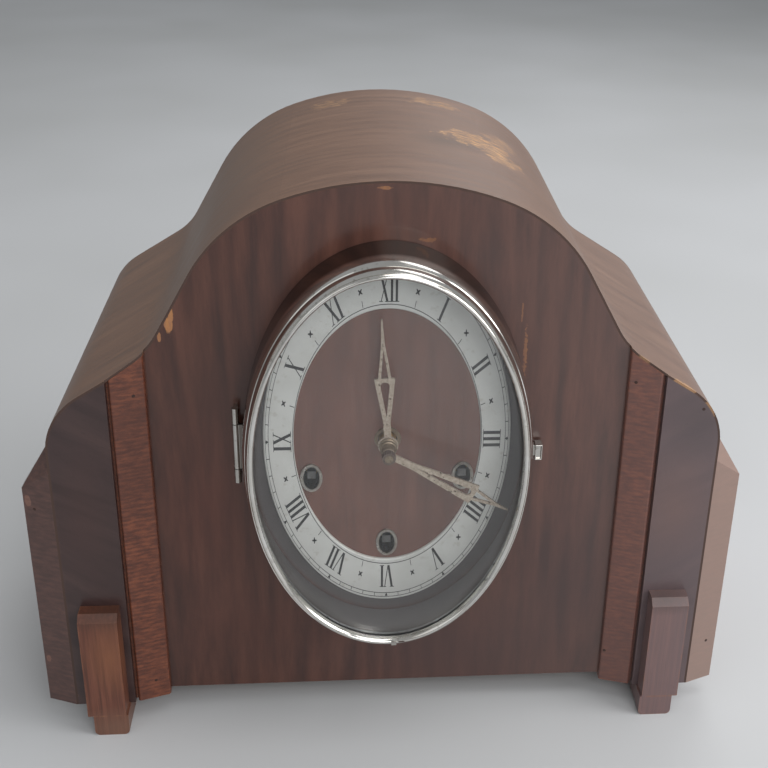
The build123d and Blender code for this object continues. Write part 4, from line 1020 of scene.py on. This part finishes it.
def makeBezelShell(look):
    profile = [Vector(place) for place in look["wall"]]
    for start, end, rise in look["rolls"]:
        profile += rollPlaces(start, end, rise, look["rollSteps"])
    profile += [Vector(place) for place in look["inside"]]
    wide, tall = look["halfWidth"], look["halfHeight"]
    shell = flatCircle(look["sides"], 1)  # scaled to the foot line below
    shell.scale = (wide - profile[0].x, 1, tall - profile[0].x)
    shell.location = (0, -profile[0].y * mm, 0)
    settle(shell)
    pick(shell, "VERT", anyPlace)
    for near, far in zip(profile, profile[1:]):
        nextRing(near.y - far.y, (wide - far.x) / (wide - near.x), (tall - far.x) / (tall - near.x))
    bpy.ops.mesh.select_all(action="SELECT")
    bpy.ops.mesh.remove_doubles(threshold=look["merge"] * mm)
    pointOut()
    shell.data.materials.append(bezelChrome)
    shell.data.materials.append(bezelLining)
    front = -look["inside"][0][1] * mm
    for face in shell.data.polygons:  # the side that looks in at the dial is dull
        inward = face.normal.x * face.center.x + face.normal.z * face.center.z < 0
        face.material_index = 1 if inward and face.center.y > front else 0
    shell.location = [v * mm for v in look["middle"]]
    shell = joinAll([shell], "bezel_shell")
    bpy.ops.object.shade_smooth_by_angle(angle=math.radians(look["smooth"]))
    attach(shell, "bezel")
    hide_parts("bezel_ring")
    return shell


# Joint at the foot of the bezel's lip: a small clip, and beside it a dark block that paints the shade in
# the slit
lipJoint = {
    "clip": (1.9, 0.9, 1.5), "clipAt": (0.9, 48.2), "slitShade": (2.2, 0.3, 0.45), "slitShadeAt": (3.7, 48.75),
    "turn": -3.0, "bevel": 0.12,
}


def makeLipJoint(look, shell):
    pieces = []
    for size, (x, z), finish in ((look["clip"], look["clipAt"], metals["chrome"]),
                                 (look["slitShade"], look["slitShadeAt"], nailFiller)):
        place, _ = surfaceAt(shell, (x * mm, wellInFront, z * mm), (0, 1, 0))
        half = Vector(size) * mm / 2
        block = squareBlock(place - half, place + half, look["turn"])
        applyModifier(block, "BEVEL", width=look["bevel"] * mm, segments=2)
        block.data.materials.append(finish)
        pieces.append(block)
    joint = joinAll(pieces, "bezel_lip_joint")
    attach(joint, "bezel")


makeLipJoint(lipJoint, makeBezelShell(bezelShell))

# Finger tab: a rimmed plate on a short neck
fingerTab = {
    "plate": 2.6, "short": 0.35, "rim": 0.45, "hollow": 0.7, "neckBack": 1.8, "neckIn": 0.9, "lap": 0.1,
    "bevel": 0.12,
}


def makeFingerTab(look):
    low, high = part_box("bezel_tab")
    right = high.x - look["short"] * mm
    left = right - look["plate"] * mm
    back, inset = look["neckBack"] * mm, look["neckIn"] * mm
    plate = squareBlock(Vector((left, low.y, low.z)), Vector((right, high.y, high.z)))
    neck = squareBlock(Vector((low.x, low.y + back, low.z + inset)),
                       Vector((left + look["lap"] * mm, high.y - inset / 2, high.z - inset)))
    pick(plate, "FACE", lambda centre: centre.y < low.y + 0.01 * mm)
    bpy.ops.mesh.inset(thickness=look["rim"] * mm)
    bpy.ops.mesh.extrude_region_move(TRANSFORM_OT_translate={"value": (0, look["hollow"] * mm, 0)})
    objectMode()
    applyModifier(plate, "BEVEL", width=look["bevel"] * mm, segments=2)
    tab = joinAll([plate, neck], "finger_tab")
    tab.data.materials.append(metals["chrome"])
    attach(tab, "bezel")
    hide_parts("bezel_tab")


makeFingerTab(fingerTab)
print("collet and bezel made")

# Floor and soft light
studio = {
    "floorSize": 6, "floor": (196, 197, 199), "floorPatch": (188, 189, 190), "patchScale": 3.0,
    "sky": (0.62, 0.64, 0.65), "skyLight": 0.55,
    "lamps": [("keyLamp", (0.32, -1.05, 0.70), 0.8, 5.6), ("sideLamp", (0.95, -0.35, 0.60), 0.7, 5.8),
              ("topLamp", (0.35, -0.15, 1.20), 0.9, 4.5), ("fillLamp", (-0.85, -0.75, 0.75), 1.0, 1.2),
              ("backLamp", (0.45, 0.85, 0.95), 0.8, 4.0)],
    "aim": (0.0, 0.0, 0.10),
}


def makeStudio(look):
    deselectAll()
    bpy.ops.mesh.primitive_plane_add(size=look["floorSize"])
    floor = bpy.context.object
    floor.name = "floor"
    material, tree, shader = newMaterial("paleFloor", {"Roughness": 0.8, "Specular IOR Level": 0.2})
    cloud = noiseOf(tree, objectCoords(tree), look["patchScale"], 2.0)
    mask = ranged(tree, cloud.outputs[0], 0.35, 0.65)
    feed(tree, shader, "Base Color", mixColour(tree, mask, tint(*look["floor"]), tint(*look["floorPatch"])))
    floor.data.materials.append(material)
    for name, place, size, power in look["lamps"]:
        lamp = bpy.data.lights.new(name, "AREA")
        lamp.shape = "DISK"
        lamp.size = size
        lamp.energy = power
        holder = bpy.data.objects.new(name, lamp)
        scene.collection.objects.link(holder)
        holder.location = place
        holder.rotation_euler = (Vector(look["aim"]) - Vector(place)).to_track_quat("-Z", "Y").to_euler()
    world = bpy.data.worlds.new("paleRoom")
    world.use_nodes = True
    scene.world = world
    sky = world.node_tree.nodes["Background"]
    sky.inputs["Color"].default_value = (*look["sky"], 1)
    sky.inputs["Strength"].default_value = look["skyLight"]


makeStudio(studio)
print("studio set")
